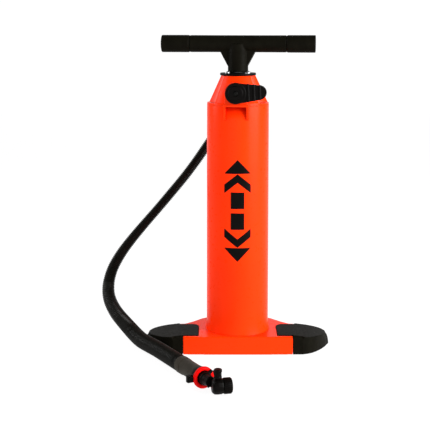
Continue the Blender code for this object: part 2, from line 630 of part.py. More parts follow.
def make_base():
    data = outline_mesh(base_outline(), 0.0, BASE_TOP)
    inner = JOINT_FRONT[0] + 0.001
    round_edges(data, lambda a, b: min(a.z, b.z) > 0.03 and max(a.y, b.y) < -0.06 and
                max(abs(a.x), abs(b.x)) < inner, 0.0065, 4)
    base = solid("base_plate", data, ORANGE)
    spigot = [
        (0.0543, 0.0440), (0.0543, 0.0412), (0.0516, 0.0412), (0.0516, 0.0380), (0.0543, 0.0380),
        (0.0543, 0.0300), (0.0470, 0.0300), (0.0470, 0.0440)]
    join(base, turned("base_spigot", spigot, cutter=True))
    cut(base, make_pockets())
    for side, name in ((1, "right"), (-1, "left")):
        recess = outline_mesh(tongue_outline(GAP), TONGUE_LOW - GAP, BASE_TOP + 0.01)
        cut(base, solid(f"tongue_recess_{name}", on_side(recess, side), cutter=True))
        for i, y in enumerate(FOOT_SCREW_YS):
            place_of_screw = shift(side * FOOT_SCREW_X, y)
            cut(base, hole(f"foot_hole_{name}_{i}", 0.0024, 0.02, 0.04, matrix=place_of_screw, sides=8))
    for i, (x, y) in enumerate(circle_places(0.0230, 4)):
        cut(base, hole(f"intake_hole_{i}", 0.0060, 0.02, 0.04, matrix=shift(x, y), sides=10))
    for i, (x, y) in enumerate(circle_places(0.0580, 4)):
        cut(base, hole(f"base_screw_hole_{i}", 0.0017, 0.02, 0.04, matrix=shift(x, y), sides=8))
        screw(f"barrel_screw_{i + 1}", 0.0034, 0.0018, 0.0013, 0.0190, None,
              shift(x, y, POCKET_TOP - GAP) @ FLIPPED)


def make_base_internals():
    turned("base_seal_ring", cord_ring_profile(0.0531, 0.0011, 0.0396), RUBBER)
    low, high = 0.0443, 0.0493
    plate = turned("base_valve_plate", [(0.0, high), (0.0540, high), (0.0540, low), (0.0, low)], BLACK)
    cut(plate, hole("valve_stem_hole", 0.0019, 0.04, 0.06, sides=8))
    for i, (x, y) in enumerate(circle_places(0.0120, 6, 0.0)):
        cut(plate, hole(f"valve_air_hole_{i}", 0.0032, 0.04, 0.06, matrix=shift(x, y), sides=8))
    umbrella_valve("lower_intake_valve", 0.0190, high - low, None, shift(z=high))


def foot_outline():
    """Plan of the right foot beyond the joint, from its front inner corner round the tip to the rear."""
    start = [(JOINT_FRONT[0] + GAP, JOINT_FRONT[1] - 0.0005)]
    front = [(0.1221, -0.0644), (0.1338, -0.0597), (0.1460, -0.0498), (0.1591, -0.0327), (0.1685, -0.0165)]
    tip = [(0.1737, -0.0038), (FOOT_TIP, 0.0037), (0.1765, 0.0110), (0.1725, 0.0175), (0.1660, 0.0205)]
    return start + front + tip + [(JOINT_REAR[0] + GAP, JOINT_REAR[1])]


def foot_top(x):
    """Height of a foot's top face, which falls towards the tip."""
    t = max(0.0, (x - JOINT_FRONT[0]) / (FOOT_TIP - JOINT_FRONT[0]))
    return 0.0360 - 0.0090 * t ** 1.5


def make_foot(side, name):
    data = outline_mesh(foot_outline(), 0.0, 0.0360)
    for vert in data.verts:
        if vert.co.z > 0.02:
            vert.co.z = foot_top(vert.co.x)
    joint = JOINT_REAR[0] + 0.002
    round_edges(data, lambda a, b: min(a.z, b.z) > 0.02 and max(a.x, b.x) > joint, 0.0075, 3)
    foot = solid(f"foot_{name}", on_side(data, side), GRIP)
    tongue = outline_mesh(tongue_outline(0.0), TONGUE_LOW, TONGUE_HIGH)
    join(foot, solid(f"tongue_{name}", on_side(tongue, side), cutter=True))
    hollow = [(0.1085, -0.0600), (0.1200, -0.0590), (0.1310, -0.0545), (0.1420, -0.0455), (0.1550, -0.0290),
              (0.1650, -0.0100), (0.1700, 0.0020), (0.1685, 0.0110), (0.1640, 0.0145), (0.1170, 0.0165)]
    cut(foot, solid(f"foot_hollow_{name}", on_side(outline_mesh(hollow, -0.01, 0.0200), side), cutter=True))
    for i, y in enumerate(FOOT_SCREW_YS):
        spot = shift(side * FOOT_SCREW_X, y)
        cut(foot, hole(f"tongue_hole_{name}_{i}", 0.0020, 0.025, 0.0336, matrix=spot, sides=12))
        screw(f"foot_screw_{name}_{i + 1}", 0.0036, 0.0020, 0.0016, 0.0085, None,
              spot @ shift(z=POCKET_TOP - GAP) @ FLIPPED)


# ---------------------------------------------------------------- elbow and hose

OUTLET_AXIS = about_z(HEAD_YAW) @ REAR @ shift(y=OUTLET_Z)
OUTWARD = (OUTLET_AXIS.to_3x3() @ Vector((0, 0, 1))).normalized()
DOWN_LEFT = Vector((-math.cos(ELBOW_ANGLE), 0.0, -math.sin(ELBOW_ANGLE)))
BEND_START = OUTLET_AXIS @ Vector((0, 0, 0.0780))
BEND_R = 0.020
ELBOW_END = BEND_START + (OUTWARD + DOWN_LEFT) * BEND_R + DOWN_LEFT * 0.012


def tube_curve(points, radius, resolution, caps):
    curve = bpy.data.curves.new("tube", "CURVE")
    curve.dimensions = "3D"
    curve.bevel_depth = radius
    curve.bevel_resolution = resolution
    curve.use_fill_caps = caps
    spline = curve.splines.new("POLY")
    spline.points.add(len(points) - 1)
    for point, co in zip(spline.points, points):
        point.co = (*co, 1.0)
    return curve


def make_elbow():
    """Swivel elbow behind the head, held by a union nut over a face seal."""
    points = [OUTLET_AXIS @ Vector((0, 0, 0.0672))]
    for i in range(7):
        angle = math.radians(90) * i / 6
        points.append(BEND_START + BEND_R * (OUTWARD * math.sin(angle) + DOWN_LEFT * (1 - math.cos(angle))))
    points.append(ELBOW_END)
    data = curve_mesh(tube_curve(points, 0.0120, 3, False))
    elbow = solid("hose_elbow", data, BLACK)
    shell = elbow.modifiers.new("wall", "SOLIDIFY")
    shell.thickness = 0.0028
    shell.offset = -1.0
    join(elbow, turned("elbow_flange", ring_profile(0.0095, 0.0163, 0.0667, 0.0692), matrix=OUTLET_AXIS,
                       steps=SMALL_ROUND, cutter=True))
    turned("elbow_seal_ring", cord_ring_profile(0.0141, 0.0008, 0.0656), RUBBER, matrix=OUTLET_AXIS,
           steps=SMALL_ROUND)
    nut = [
        (0.0195, 0.0745), (0.0195, 0.0595), (0.0169, 0.0595), (0.0169, 0.0696), (0.0126, 0.0696),
        (0.0126, 0.0745)]
    turned("elbow_nut", nut, BLACK, matrix=OUTLET_AXIS, steps=SMALL_ROUND)
    cuff = [
        (0.0128, 0.0230), (0.0138, 0.0100), (0.0150, -0.0100), (0.0150, -0.0110), (0.0124, -0.0110),
        (0.0124, GAP), (0.0107, 0.0010), (0.0107, 0.0230)]
    turned("hose_inlet_cuff", cuff, BLACK, matrix=along(DOWN_LEFT, ELBOW_END), steps=SMALL_ROUND)


def smooth_route(anchors, step):
    """Points about a step apart on the curve that passes through the anchors (centripetal Catmull-Rom)."""
    ends = [anchors[0] * 2 - anchors[1]] + anchors + [anchors[-1] * 2 - anchors[-2]]
    route = [anchors[0]]
    for p0, p1, p2, p3 in zip(ends, ends[1:], ends[2:], ends[3:]):
        t1 = (p1 - p0).length ** 0.5
        t2 = t1 + (p2 - p1).length ** 0.5
        t3 = t2 + (p3 - p2).length ** 0.5
        count = max(1, round((p2 - p1).length / step))
        for i in range(1, count + 1):
            t = t1 + (t2 - t1) * i / count
            a1 = p0 * ((t1 - t) / t1) + p1 * (t / t1)
            a2 = p1 * ((t2 - t) / (t2 - t1)) + p2 * ((t - t1) / (t2 - t1))
            a3 = p2 * ((t3 - t) / (t3 - t2)) + p3 * ((t - t2) / (t3 - t2))
            b1 = a1 * ((t2 - t) / t2) + a2 * (t / t2)
            b2 = a2 * ((t3 - t) / (t3 - t1)) + a3 * ((t - t1) / (t3 - t1))
            route.append(b1 * ((t2 - t) / (t2 - t1)) + b2 * ((t - t1) / (t2 - t1)))
    return route


def make_hose():
    """Corrugated hose, a little thinner where it hangs stretched and thicker where it lies on the floor."""
    start = ELBOW_END + DOWN_LEFT * GAP
    lead = ELBOW_END + DOWN_LEFT * 0.020
    fitting = (RING_CENTRE - FITTING_START).normalized()
    end = FITTING_START - fitting * GAP
    lead_out = FITTING_START - fitting * 0.016
    anchors = [start, lead] + [Vector(p) for p in HOSE_POINTS] + [lead_out, end]
    route = smooth_route(anchors, 0.020)
    curve = tube_curve(route, HOSE_THIN_R, 3, True)
    for point in curve.splines[0].points:
        point.radius = hose_radius(point.co.z) / HOSE_THIN_R
    solid("hose", curve_mesh(curve), HOSE)


def hose_radius(z):
    """Thin on the hanging stretch, growing towards the floor."""
    t = min(1.0, max(0.0, (0.24 - z) / 0.22))
    return HOSE_THIN_R + (HOSE_THICK_R - HOSE_THIN_R) * t ** 1.4


# ---------------------------------------------------------------- hose end fitting

FITTING_DIRECTION = (RING_CENTRE - FITTING_START).normalized()
FITTING_BACK = (RING_CENTRE - FITTING_START).length
FITTING_AXIS = axis_empty("fitting_axis", along(FITTING_DIRECTION, RING_CENTRE))
FITTING_SIDE = Vector((-FITTING_DIRECTION.y, FITTING_DIRECTION.x, 0.0)).normalized()
KNUCKLE = RING_CENTRE + FITTING_DIRECTION * 0.0400 + FITTING_SIDE * 0.0070 - Vector((0, 0, 0.0050))
CAP_DIRECTION = Vector((math.cos(math.radians(12)), math.sin(math.radians(12)), 0.0))


def make_fitting():
    """Cuff, bayonet coupler with two finger lugs, red face ring and the valve adapter's stem."""
    cuff_end = -0.0160
    cuff = [
        (0.0, cuff_end), (0.0150, cuff_end), (0.0146, cuff_end - 0.0300), (0.0150, 0.0030 - FITTING_BACK),
        (0.0144, -FITTING_BACK), (0.0, -FITTING_BACK)]
    turned("hose_end_cuff", cuff, BLACK, FITTING_AXIS, steps=SMALL_ROUND)
    back, face = cuff_end + GAP, -0.0034
    coupler = turned("coupler_body", [
        (0.0, face), (0.0172, face), (0.0172, face - 0.0060), (0.0158, face - 0.0070), (0.0158, back),
        (0.0, back)], BLACK, FITTING_AXIS, steps=SMALL_ROUND)
    for i, side in enumerate((1, -1)):
        level = Matrix.Translation(RING_CENTRE) @ level_frame(FITTING_DIRECTION * side)
        lug = solid(f"coupler_lug_{i}", box_mesh((0.0140, -0.0125, -0.0060), (0.0275, -0.0040, 0.0060)),
                    matrix=level if side == 1 else level @ shift(y=0.0165), cutter=True)
        join(coupler, lug)
    face_ring = [
        (0.0180, -0.0031), (0.0122, -0.0031), (0.0112, -0.0022), (0.0112, 0.0012), (0.0130, 0.0030),
        (0.0172, 0.0030), (0.0190, 0.0012), (0.0190, -0.0022)]
    turned("coupler_ring", face_ring, RED, FITTING_AXIS, steps=SMALL_ROUND)
    stem = [
        (0.0, 0.0275), (0.0086, 0.0275), (0.0094, 0.0120), (0.0104, 0.0100), (0.0106, face + GAP),
        (0.0, face + GAP)]
    turned("nozzle_stem", stem, BLACK, FITTING_AXIS, steps=SMALL_ROUND)


def level_frame(direction):
    """Local Y along a direction, local X level and to its right."""
    ahead = Vector(direction).normalized()
    right = ahead.cross(Vector((0, 0, 1))).normalized()
    return Matrix((right, ahead, right.cross(ahead))).transposed().to_4x4()


def make_adapter():
    """Faceted knuckle with a side outlet under a knurled ring, and an upright stub under a pull-off cap."""
    sideways, upright = along(CAP_DIRECTION, KNUCKLE), Matrix.Translation(KNUCKLE)
    knuckle = turned("adapter_knuckle", [
        (0.0, 0.0082), (0.0112, 0.0082), (0.0138, 0.0056), (0.0138, -0.0074), (0.0112, -0.0100),
        (0.0, -0.0100)], BLACK, None, sideways, steps=12)
    outlet = solid("adapter_outlet", rod_mesh(0.0066, 0.0, 0.0200, 20), matrix=sideways, cutter=True)
    stub = solid("adapter_stub", rod_mesh(0.0038, 0.0, 0.0255, 16), matrix=upright, cutter=True)
    join(knuckle, outlet, stub)
    cut(knuckle, hole("adapter_stem_room", 0.0150, 0.0, 0.0278, FITTING_AXIS, None, 24))
    cut(knuckle, hole("adapter_bore", 0.0042, 0.0, 0.03, None, sideways))
    turned("adapter_ring", [
        (0.0120, 0.0235), (0.0134, 0.0221), (0.0134, 0.0098), (0.0124, 0.0088), (0.0070, 0.0088),
        (0.0070, 0.0205), (0.0055, 0.0205), (0.0055, 0.0235)], BLACK, None, sideways, steps=SMALL_ROUND)
    cap_top = 0.0300
    turned("stub_cap", [
        (0.0, cap_top), (0.0052, cap_top), (0.0062, cap_top - 0.0012), (0.0056, 0.0185), (0.0056, 0.0148),
        (0.0041, 0.0148), (0.0041, 0.0260), (0.0, 0.0260)], BLACK, None, upright, steps=16)


# ---------------------------------------------------------------- build

make_barrel()
make_liner()
make_head()
make_head_internals()
make_gland()
make_lever()
make_piston()
make_rod()
make_handle()
make_base()
make_base_internals()
make_foot(1, "right")
make_foot(-1, "left")
make_elbow()
make_hose()
make_fitting()
make_adapter()
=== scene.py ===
"""Looks of the double action hand pump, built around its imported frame.

Each visible piece is a fine mesh that stands for its plain CAD node. Inner pieces keep their CAD shape.
Metres, +Z up, the mode lever at -Y. Places come from the frame; profiles are (radius, height) pairs.
"""

import json
import math

import bmesh
import bpy
from mathutils import Matrix, Vector


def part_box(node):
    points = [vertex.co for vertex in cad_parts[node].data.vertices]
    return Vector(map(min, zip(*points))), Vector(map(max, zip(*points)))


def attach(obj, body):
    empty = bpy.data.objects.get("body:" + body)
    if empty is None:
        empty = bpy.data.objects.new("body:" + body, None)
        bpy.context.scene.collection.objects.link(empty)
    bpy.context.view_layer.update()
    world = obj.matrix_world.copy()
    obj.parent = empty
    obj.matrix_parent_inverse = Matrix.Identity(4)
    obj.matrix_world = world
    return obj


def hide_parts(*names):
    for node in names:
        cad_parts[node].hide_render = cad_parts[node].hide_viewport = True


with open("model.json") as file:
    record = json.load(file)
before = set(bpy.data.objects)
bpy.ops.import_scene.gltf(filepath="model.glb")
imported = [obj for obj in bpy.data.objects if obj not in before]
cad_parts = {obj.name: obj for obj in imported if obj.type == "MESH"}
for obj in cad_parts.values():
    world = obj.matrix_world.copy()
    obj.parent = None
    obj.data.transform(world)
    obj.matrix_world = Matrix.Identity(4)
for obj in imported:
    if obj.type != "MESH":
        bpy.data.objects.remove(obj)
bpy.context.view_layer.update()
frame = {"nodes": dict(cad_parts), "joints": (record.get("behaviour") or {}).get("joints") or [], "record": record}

# ---------------------------------------------------------------- places read from the frame

JOINTS = {joint["name"]: joint for joint in frame["joints"]}


def middle(node):
    low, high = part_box(node)
    return (low + high) / 2


RIM_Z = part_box("head_gasket")[1].z - 0.0003      # joint between barrel and head
BASE_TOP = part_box("barrel")[0].z - 0.0003
HEAD_TOP = RIM_Z + 0.0527
HANDLE_Z = middle("grip_right").z
HANDLE_YAW = math.atan2(middle("grip_right").y, middle("grip_right").x)
LEVER_SPOT = Vector(JOINTS["mode_lever_turn"]["pos_m"])
LEVER_AXIS = Vector(JOINTS["mode_lever_turn"]["axis"])
HEAD_YAW = math.atan2(LEVER_AXIS.x, -LEVER_AXIS.y)
KNUCKLE = Vector(JOINTS["adapter_ring_turn"]["pos_m"])
CAP_DIRECTION = Vector(JOINTS["adapter_ring_turn"]["axis"])
OUTLET_Z = RIM_Z + 0.0230
ROD_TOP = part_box("piston_rod")[1].z
ROD_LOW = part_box("piston_rod")[0].z
ROD_R = 0.0110
BARREL_R = 0.0580
BARREL_BORE_R = 0.0548
FOOT_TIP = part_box("foot_right")[1].x

# ---------------------------------------------------------------- hose route, as in the CAD

HOSE_PITCH = 0.0036
HOSE_THIN_R = 0.0094     # where it hangs stretched
HOSE_THICK_R = 0.0150    # where it lies on the floor
HOSE_THIN_ABOVE = 0.24   # height above which it stays thin
HOSE_GROWTH = 0.22       # height over which it grows to its full radius
ELBOW_ANGLE = math.radians(64.0)
FITTING_START = Vector((-0.1020, -0.1645, 0.0160))
RING_CENTRE = Vector((-0.0625, -0.2422, 0.0195))
HOSE_POINTS = (
    (-0.0255, 0.0985, 0.4255),
    (-0.0420, 0.0995, 0.4005),
    (-0.0585, 0.1005, 0.3755),
    (-0.0810, 0.1015, 0.3425),
    (-0.1050, 0.1015, 0.3105),
    (-0.1305, 0.1015, 0.2795),
    (-0.1565, 0.1010, 0.2485),
    (-0.1825, 0.1005, 0.2185),
    (-0.2085, 0.0995, 0.1875),
    (-0.2270, 0.0975, 0.1635),
    (-0.2380, 0.0960, 0.1465),
    (-0.2475, 0.0935, 0.1290),
    (-0.2540, 0.0895, 0.1105),
    (-0.2570, 0.0840, 0.0920),
    (-0.2555, 0.0775, 0.0740),
    (-0.2495, 0.0700, 0.0590),
    (-0.2380, 0.0595, 0.0430),
    (-0.2240, 0.0470, 0.0305),
    (-0.2105, 0.0300, 0.0215),
    (-0.2000, 0.0105, 0.0175),
    (-0.1910, -0.0095, 0.0160),
    (-0.1810, -0.0300, 0.0155),
    (-0.1670, -0.0525, 0.0155),
    (-0.1505, -0.0780, 0.0155),
    (-0.1350, -0.1050, 0.0155),
    (-0.1205, -0.1305, 0.0155),
)

# ---------------------------------------------------------------- placing


def shift(x=0.0, y=0.0, z=0.0):
    return Matrix.Translation((x, y, z))


def about_z(angle):
    return Matrix.Rotation(angle, 4, "Z")


def along(direction, origin=(0, 0, 0)):
    """Matrix whose local Z runs along a direction."""
    turn = Vector((0, 0, 1)).rotation_difference(Vector(direction)).to_matrix().to_4x4()
    return Matrix.Translation(origin) @ turn


FRONT = Matrix.Rotation(math.radians(90), 4, "X")    # local Z towards -Y, local Y up
REAR = about_z(math.pi) @ FRONT                      # local Z towards +Y, local Y up
ACROSS = Matrix.Rotation(math.radians(90), 4, "Y")   # local Z towards +X
FLIPPED = Matrix.Rotation(math.pi, 4, "X")
IDENTITY = Matrix.Identity(4)
HEAD = about_z(HEAD_YAW)
LEVER = Matrix.Translation(LEVER_SPOT) @ about_z(HEAD_YAW) @ FRONT
HANDLE = shift(z=HANDLE_Z) @ about_z(HANDLE_YAW)
OUTLET = HEAD @ REAR @ shift(y=OUTLET_Z)
OUTWARD = (OUTLET.to_3x3() @ Vector((0, 0, 1))).normalized()
DOWN_LEFT = Vector((-math.cos(ELBOW_ANGLE), 0.0, -math.sin(ELBOW_ANGLE)))
BEND_START = OUTLET @ Vector((0, 0, 0.0780))
BEND_R = 0.020
ELBOW_END = BEND_START + (OUTWARD + DOWN_LEFT) * BEND_R + DOWN_LEFT * 0.012
FITTING_LENGTH = (RING_CENTRE - FITTING_START).length
FITTING_DIRECTION = (RING_CENTRE - FITTING_START).normalized()
FITTING = along(FITTING_DIRECTION, RING_CENTRE)
SIDEWAYS = along(CAP_DIRECTION, KNUCKLE)
UPRIGHT = Matrix.Translation(KNUCKLE)

# ---------------------------------------------------------------- materials


class Shader:
    """A Principled material with short calls for the nodes that feed it."""

    def __init__(self, name, color, roughness, metallic=0.0, specular=0.5):
        self.material = bpy.data.materials.new(name)
        self.material.use_nodes = True
        self.tree = self.material.node_tree
        self.shader = self.tree.nodes["Principled BSDF"]
        self.shader.inputs["Base Color"].default_value = (*color, 1.0)
        self.shader.inputs["Roughness"].default_value = roughness
        self.shader.inputs["Metallic"].default_value = metallic
        self.shader.inputs["Specular IOR Level"].default_value = specular
        self.place = self.tree.nodes.new("ShaderNodeTexCoord").outputs["Object"]
        self.normal = None

    def node(self, kind, **settings):
        node = self.tree.nodes.new(kind)
        for name, value in settings.items():
            setattr(node, name, value)
        return node

    def link(self, source, target):
        self.tree.links.new(source, target)

    def noise(self, scale, detail=2.0, stretch=(1, 1, 1), roughness=0.5):
        """Noise over the object's own metres; scale is in waves to a metre."""
        mapping = self.node("ShaderNodeMapping")
        mapping.inputs["Scale"].default_value = stretch
        self.link(self.place, mapping.inputs["Vector"])
        noise = self.node("ShaderNodeTexNoise")
        noise.inputs["Scale"].default_value = scale
        noise.inputs["Detail"].default_value = detail
        noise.inputs["Roughness"].default_value = roughness
        self.link(mapping.outputs["Vector"], noise.inputs["Vector"])
        return noise.outputs["Fac"]

    def span(self, value, low, high, start=0.3, end=0.7):
        spread = self.node("ShaderNodeMapRange")
        spread.inputs["From Min"].default_value = start
        spread.inputs["From Max"].default_value = end
        spread.inputs["To Min"].default_value = low
        spread.inputs["To Max"].default_value = high
        self.link(value, spread.inputs["Value"])
        return spread.outputs["Result"]

    def roughness(self, value, low, high):
        self.link(self.span(value, low, high), self.shader.inputs["Roughness"])

    def color(self, value, first, second):
        mix = self.node("ShaderNodeMix", data_type="RGBA")
        mix.inputs["A"].default_value = (*first, 1.0)
        mix.inputs["B"].default_value = (*second, 1.0)
        self.link(self.span(value, 0.0, 1.0), mix.inputs["Factor"])
        self.link(mix.outputs["Result"], self.shader.inputs["Base Color"])

    def bump(self, height, distance):
        """Add relief; distance is its depth in metres."""
        bump = self.node("ShaderNodeBump")
        bump.inputs["Distance"].default_value = distance
        self.link(height, bump.inputs["Height"])
        if self.normal:
            self.link(self.normal, bump.inputs["Normal"])
        self.normal = bump.outputs["Normal"]
        self.link(self.normal, self.shader.inputs["Normal"])


def make_orange():
    """Glossy injection-moulded plastic: faint waviness, fine haze in its gloss, slight colour drift."""
    made = Shader("orange_plastic", (0.93, 0.032, 0.001), 0.34, specular=0.05)
    made.color(made.noise(9.0, 3.0), (0.92, 0.029, 0.001), (0.96, 0.034, 0.001))
    made.roughness(made.noise(140.0, 4.0), 0.26, 0.33)
    made.bump(made.noise(28.0, 1.0), 0.00005)
    return made.material


def make_plastic(name, color, light, gloss, grain, depth, shine=0.05):
    """Dark moulded plastic with a fine sparked grain and slightly uneven gloss."""
    made = Shader(name, color, gloss, specular=shine)
    made.color(made.noise(60.0, 4.0), color, light)
    made.roughness(made.noise(220.0, 4.0), gloss - 0.05, gloss + 0.07)
    made.bump(made.noise(45.0, 2.0), 0.00008)
    made.bump(made.noise(grain, 3.0, roughness=0.6), depth)
    return made.material


def make_rubber(name, color, light, gloss, shine=0.15):
    """Rubber, or a soft plain plastic, with a fine even texture."""
    made = Shader(name, color, gloss, specular=shine)
    made.color(made.noise(300.0, 3.0), color, light)
    made.roughness(made.noise(500.0, 3.0), gloss - 0.06, gloss + 0.06)
    made.bump(made.noise(1500.0, 2.0), 0.00002)
    return made.material


def make_metal(name, color, light, gloss, stretch):
    """Metal with fine tool marks drawn out along one way."""
    made = Shader(name, color, gloss, metallic=1.0)
    lines = made.noise(400.0, 4.0, stretch, 0.7)
    made.color(lines, color, light)
    made.roughness(lines, gloss - 0.06, gloss + 0.10)
    made.bump(lines, 0.00001)
    return made.material


ORANGE = make_orange()
BLACK = make_plastic(
    "black_plastic", (0.0014, 0.0010, 0.0008), (0.0024, 0.0018, 0.0014), 0.40, 1400.0, 0.00002)
GRIP = make_plastic(
    "grip_plastic", (0.0034, 0.0030, 0.0018), (0.0052, 0.0047, 0.0028), 0.46, 1100.0, 0.00005, shine=0.02)
HOSE = make_plastic(
    "hose_plastic", (0.0026, 0.0024, 0.0015), (0.0042, 0.0039, 0.0025), 0.36, 1300.0, 0.00002, shine=0.14)
CUFF = make_plastic("cuff_plastic", (0.022, 0.018, 0.013), (0.032, 0.027, 0.020), 0.46, 900.0, 0.00004)
RED = make_rubber("red_rubber", (0.66, 0.001, 0.001), (0.72, 0.002, 0.001), 0.42, shine=0.06)
RUBBER = make_rubber("seal_rubber", (0.014, 0.014, 0.014), (0.022, 0.022, 0.021), 0.62)
LINER = make_rubber("liner_plastic", (0.50, 0.50, 0.48), (0.56, 0.56, 0.54), 0.35)
ACETAL = make_rubber("acetal", (0.78, 0.77, 0.73), (0.82, 0.81, 0.78), 0.40)
STEEL = make_metal("steel", (0.52, 0.52, 0.54), (0.66, 0.66, 0.68), 0.28, (1, 1, 6))
BLACK_STEEL = make_metal("black_steel", (0.008, 0.008, 0.008), (0.013, 0.013, 0.012), 0.40, (1, 1, 6))
ALUMINIUM = make_metal("aluminium", (0.66, 0.66, 0.68), (0.76, 0.76, 0.78), 0.30, (0.15, 0.15, 12))

SLOT_MATERIALS = {
    "orange_plastic": ORANGE,
    "black_plastic": BLACK,
    "grip_plastic": GRIP,
    "hose_plastic": HOSE,
    "red_rubber": RED,
    "seal_rubber": RUBBER,
    "liner_plastic": LINER,
    "acetal": ACETAL,
    "steel": STEEL,
    "black_steel": BLACK_STEEL,
    "aluminium": ALUMINIUM,
}
NODE_SLOTS = {part["node"]: part["material_slot"] for part in frame["record"]["subparts"]}
NODE_BODIES = {node: body for body, nodes in frame["record"]["behaviour"]["bodies"].items() for node in nodes}

for node_name, node_object in frame["nodes"].items():
    node_object.data.materials.clear()
    node_object.data.materials.append(SLOT_MATERIALS[NODE_SLOTS[node_name]])

# ---------------------------------------------------------------- shapes

SHARP_ANGLE = 35.0      # degrees; a steeper edge keeps a crisp shade


def arc(centre, radius, start, end, steps):
    """Points on a circle from one angle to another, in degrees, both ends included."""
    angles = (math.radians(start + (end - start) * i / steps) for i in range(steps + 1))
    return [(centre[0] + radius * math.cos(a), centre[1] + radius * math.sin(a)) for a in angles]


def rounded(points, radius, closed=True, steps=4):
    """A flat outline whose corners are small arcs; a corner gets less where its sides are short."""
    out = []
    count = len(points)
    for i, point in enumerate(points):
        if not closed and i in (0, count - 1):
            out.append(point)
            continue
        here = Vector(point)
        back = Vector(points[i - 1]) - here
        ahead = Vector(points[(i + 1) % count]) - here
        turn = math.pi - back.angle(ahead)
        if turn < math.radians(12):
            out.append(point)
            continue
        reach = min(radius * math.tan(turn / 2), 0.45 * back.length, 0.45 * ahead.length)
        start, end = here + back.normalized() * reach, here + ahead.normalized() * reach
        for k in range(steps + 1):
            t = k / steps
            spot = start * (1 - t) ** 2 + here * (2 * t * (1 - t)) + end * t * t
            out.append((spot.x, spot.y))
    return out


def lathe(profile, steps=96, closed=True):
    """Turn (radius, height) points about local Z. An open profile starts and ends on the axis."""
    data = bmesh.new()
    rings = []
    for radius, height in profile:
        if radius < 1e-7:
            rings.append([data.verts.new((0, 0, height))])
            continue
        angles = (2 * math.pi * i / steps for i in range(steps))
        rings.append([data.verts.new((radius * math.cos(a), radius * math.sin(a), height)) for a in angles])
    pairs = list(zip(rings, rings[1:]))
    if closed:
        pairs.append((rings[-1], rings[0]))
    for first, second in pairs:
        for i in range(steps):
            j = (i + 1) % steps
            corners = [first[i % len(first)], first[j % len(first)], second[j % len(second)],
                       second[i % len(second)]]
            corners = list(dict.fromkeys(corners))
            if len(corners) > 2:
                data.faces.new(corners)
    return data


def turned(profile, fillet, steps=96):
    """A ring-shaped turned piece with rounded corners."""
    return lathe(rounded(profile, fillet), steps)


def capped(profile, fillet, steps=96):
    """A turned piece whose profile starts and ends on the axis."""
    return lathe(rounded(profile, fillet, closed=False), steps, closed=False)


def rod(radius, low, high, steps=64):
    """A plain cylinder along local Z."""
    return lathe([(0.0, high), (radius, high), (radius, low), (0.0, low)], steps, closed=False)


def prism(outline, low, high):
    """A flat outline drawn out along local Z from one height to another."""
    data = bmesh.new()
    loops = [[data.verts.new((x, y, z)) for x, y in outline] for z in (low, high)]
    data.faces.new(reversed(loops[0]))
    data.faces.new(loops[1])
    for i in range(len(outline)):
        j = (i + 1) % len(outline)
        data.faces.new((loops[0][i], loops[0][j], loops[1][j], loops[1][i]))
    return data


def box(low, high):
    """A block between two opposite corners."""
    (x0, y0, z0), (x1, y1, z1) = low, high
    return prism([(x0, y0), (x1, y0), (x1, y1), (x0, y1)], z0, z1)


def bevelled(data, width, segments=2):
    """Round every edge of a shape."""
    bmesh.ops.bevel(data, geom=list(data.edges), offset=width, segments=segments, profile=0.5,
                    affect="EDGES", clamp_overlap=True)
    return data


def mesh_object(name, data, matrix=IDENTITY):
    """An object from a bmesh, with its points in the shared frame and its faces pointing out."""
    bmesh.ops.transform(data, matrix=matrix, verts=data.verts)
    bmesh.ops.recalc_face_normals(data, faces=data.faces)
    if data.calc_volume(signed=True) < 0:
        bmesh.ops.reverse_faces(data, faces=data.faces)
    mesh = bpy.data.meshes.new(name)
    data.to_mesh(mesh)
    data.free()
    obj = bpy.data.objects.new(name, mesh)
    bpy.context.scene.collection.objects.link(obj)
    return obj


def settle(obj):
    """Replace an object's mesh by its modified one."""
    bpy.context.view_layer.update()
    evaluated = obj.evaluated_get(bpy.context.evaluated_depsgraph_get())
    mesh = bpy.data.meshes.new_from_object(evaluated)
    obj.modifiers.clear()
    obj.data = mesh
    return obj


def build(name, data, matrix=IDENTITY, joins=(), cuts=()):
    """One solid from a shape, shapes joined to it and shapes cut from it; each is (bmesh, matrix)."""
    obj = mesh_object(name, data, matrix)
    helpers = []
    for operation, shapes in (("UNION", joins), ("DIFFERENCE", cuts)):
        for shape, place in shapes:
            helper = mesh_object(f"{name}_helper", shape, place)
            helpers.append(helper)
            modifier = obj.modifiers.new(operation, "BOOLEAN")
            modifier.operation = operation
            modifier.solver = "EXACT"
            modifier.object = helper
    settle(obj)
    for helper in helpers:
        bpy.data.objects.remove(helper)
    return obj


def soften(obj, voxel, passes=6):
    """Give a solid's edges and inner corners the soft radii of a moulding."""
    grid = obj.modifiers.new("grid", "REMESH")
    grid.mode = "VOXEL"
    grid.voxel_size = voxel
    smooth = obj.modifiers.new("smooth", "SMOOTH")
    smooth.iterations = passes
    smooth.factor = 0.5
    return settle(obj)


def show(obj, material, node, sharp=SHARP_ANGLE):
    """Finish a piece: shading, material, the CAD node it stands for and its body."""
    obj.data.materials.clear()
    obj.data.materials.append(material)
    obj.data.shade_smooth()
    if sharp:
        obj.data.set_sharp_from_angle(angle=math.radians(sharp))
    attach(obj, NODE_BODIES[node])
    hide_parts(node)
    return obj


def detail(obj, material, like):
    """Finish a small extra piece that rides with a CAD node and stands for none."""
    obj.data.materials.append(material)
    obj.data.shade_smooth()
    obj.data.set_sharp_from_angle(angle=math.radians(SHARP_ANGLE))
    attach(obj, NODE_BODIES[like])
    return obj


def circle_places(radius, count, first=45.0):
    """Evenly spaced places round an axis, from a first angle in degrees."""
    angles = (math.radians(first + 360.0 * i / count) for i in range(count))
    return [(radius * math.cos(a), radius * math.sin(a)) for a in angles]


# ---------------------------------------------------------------- barrel


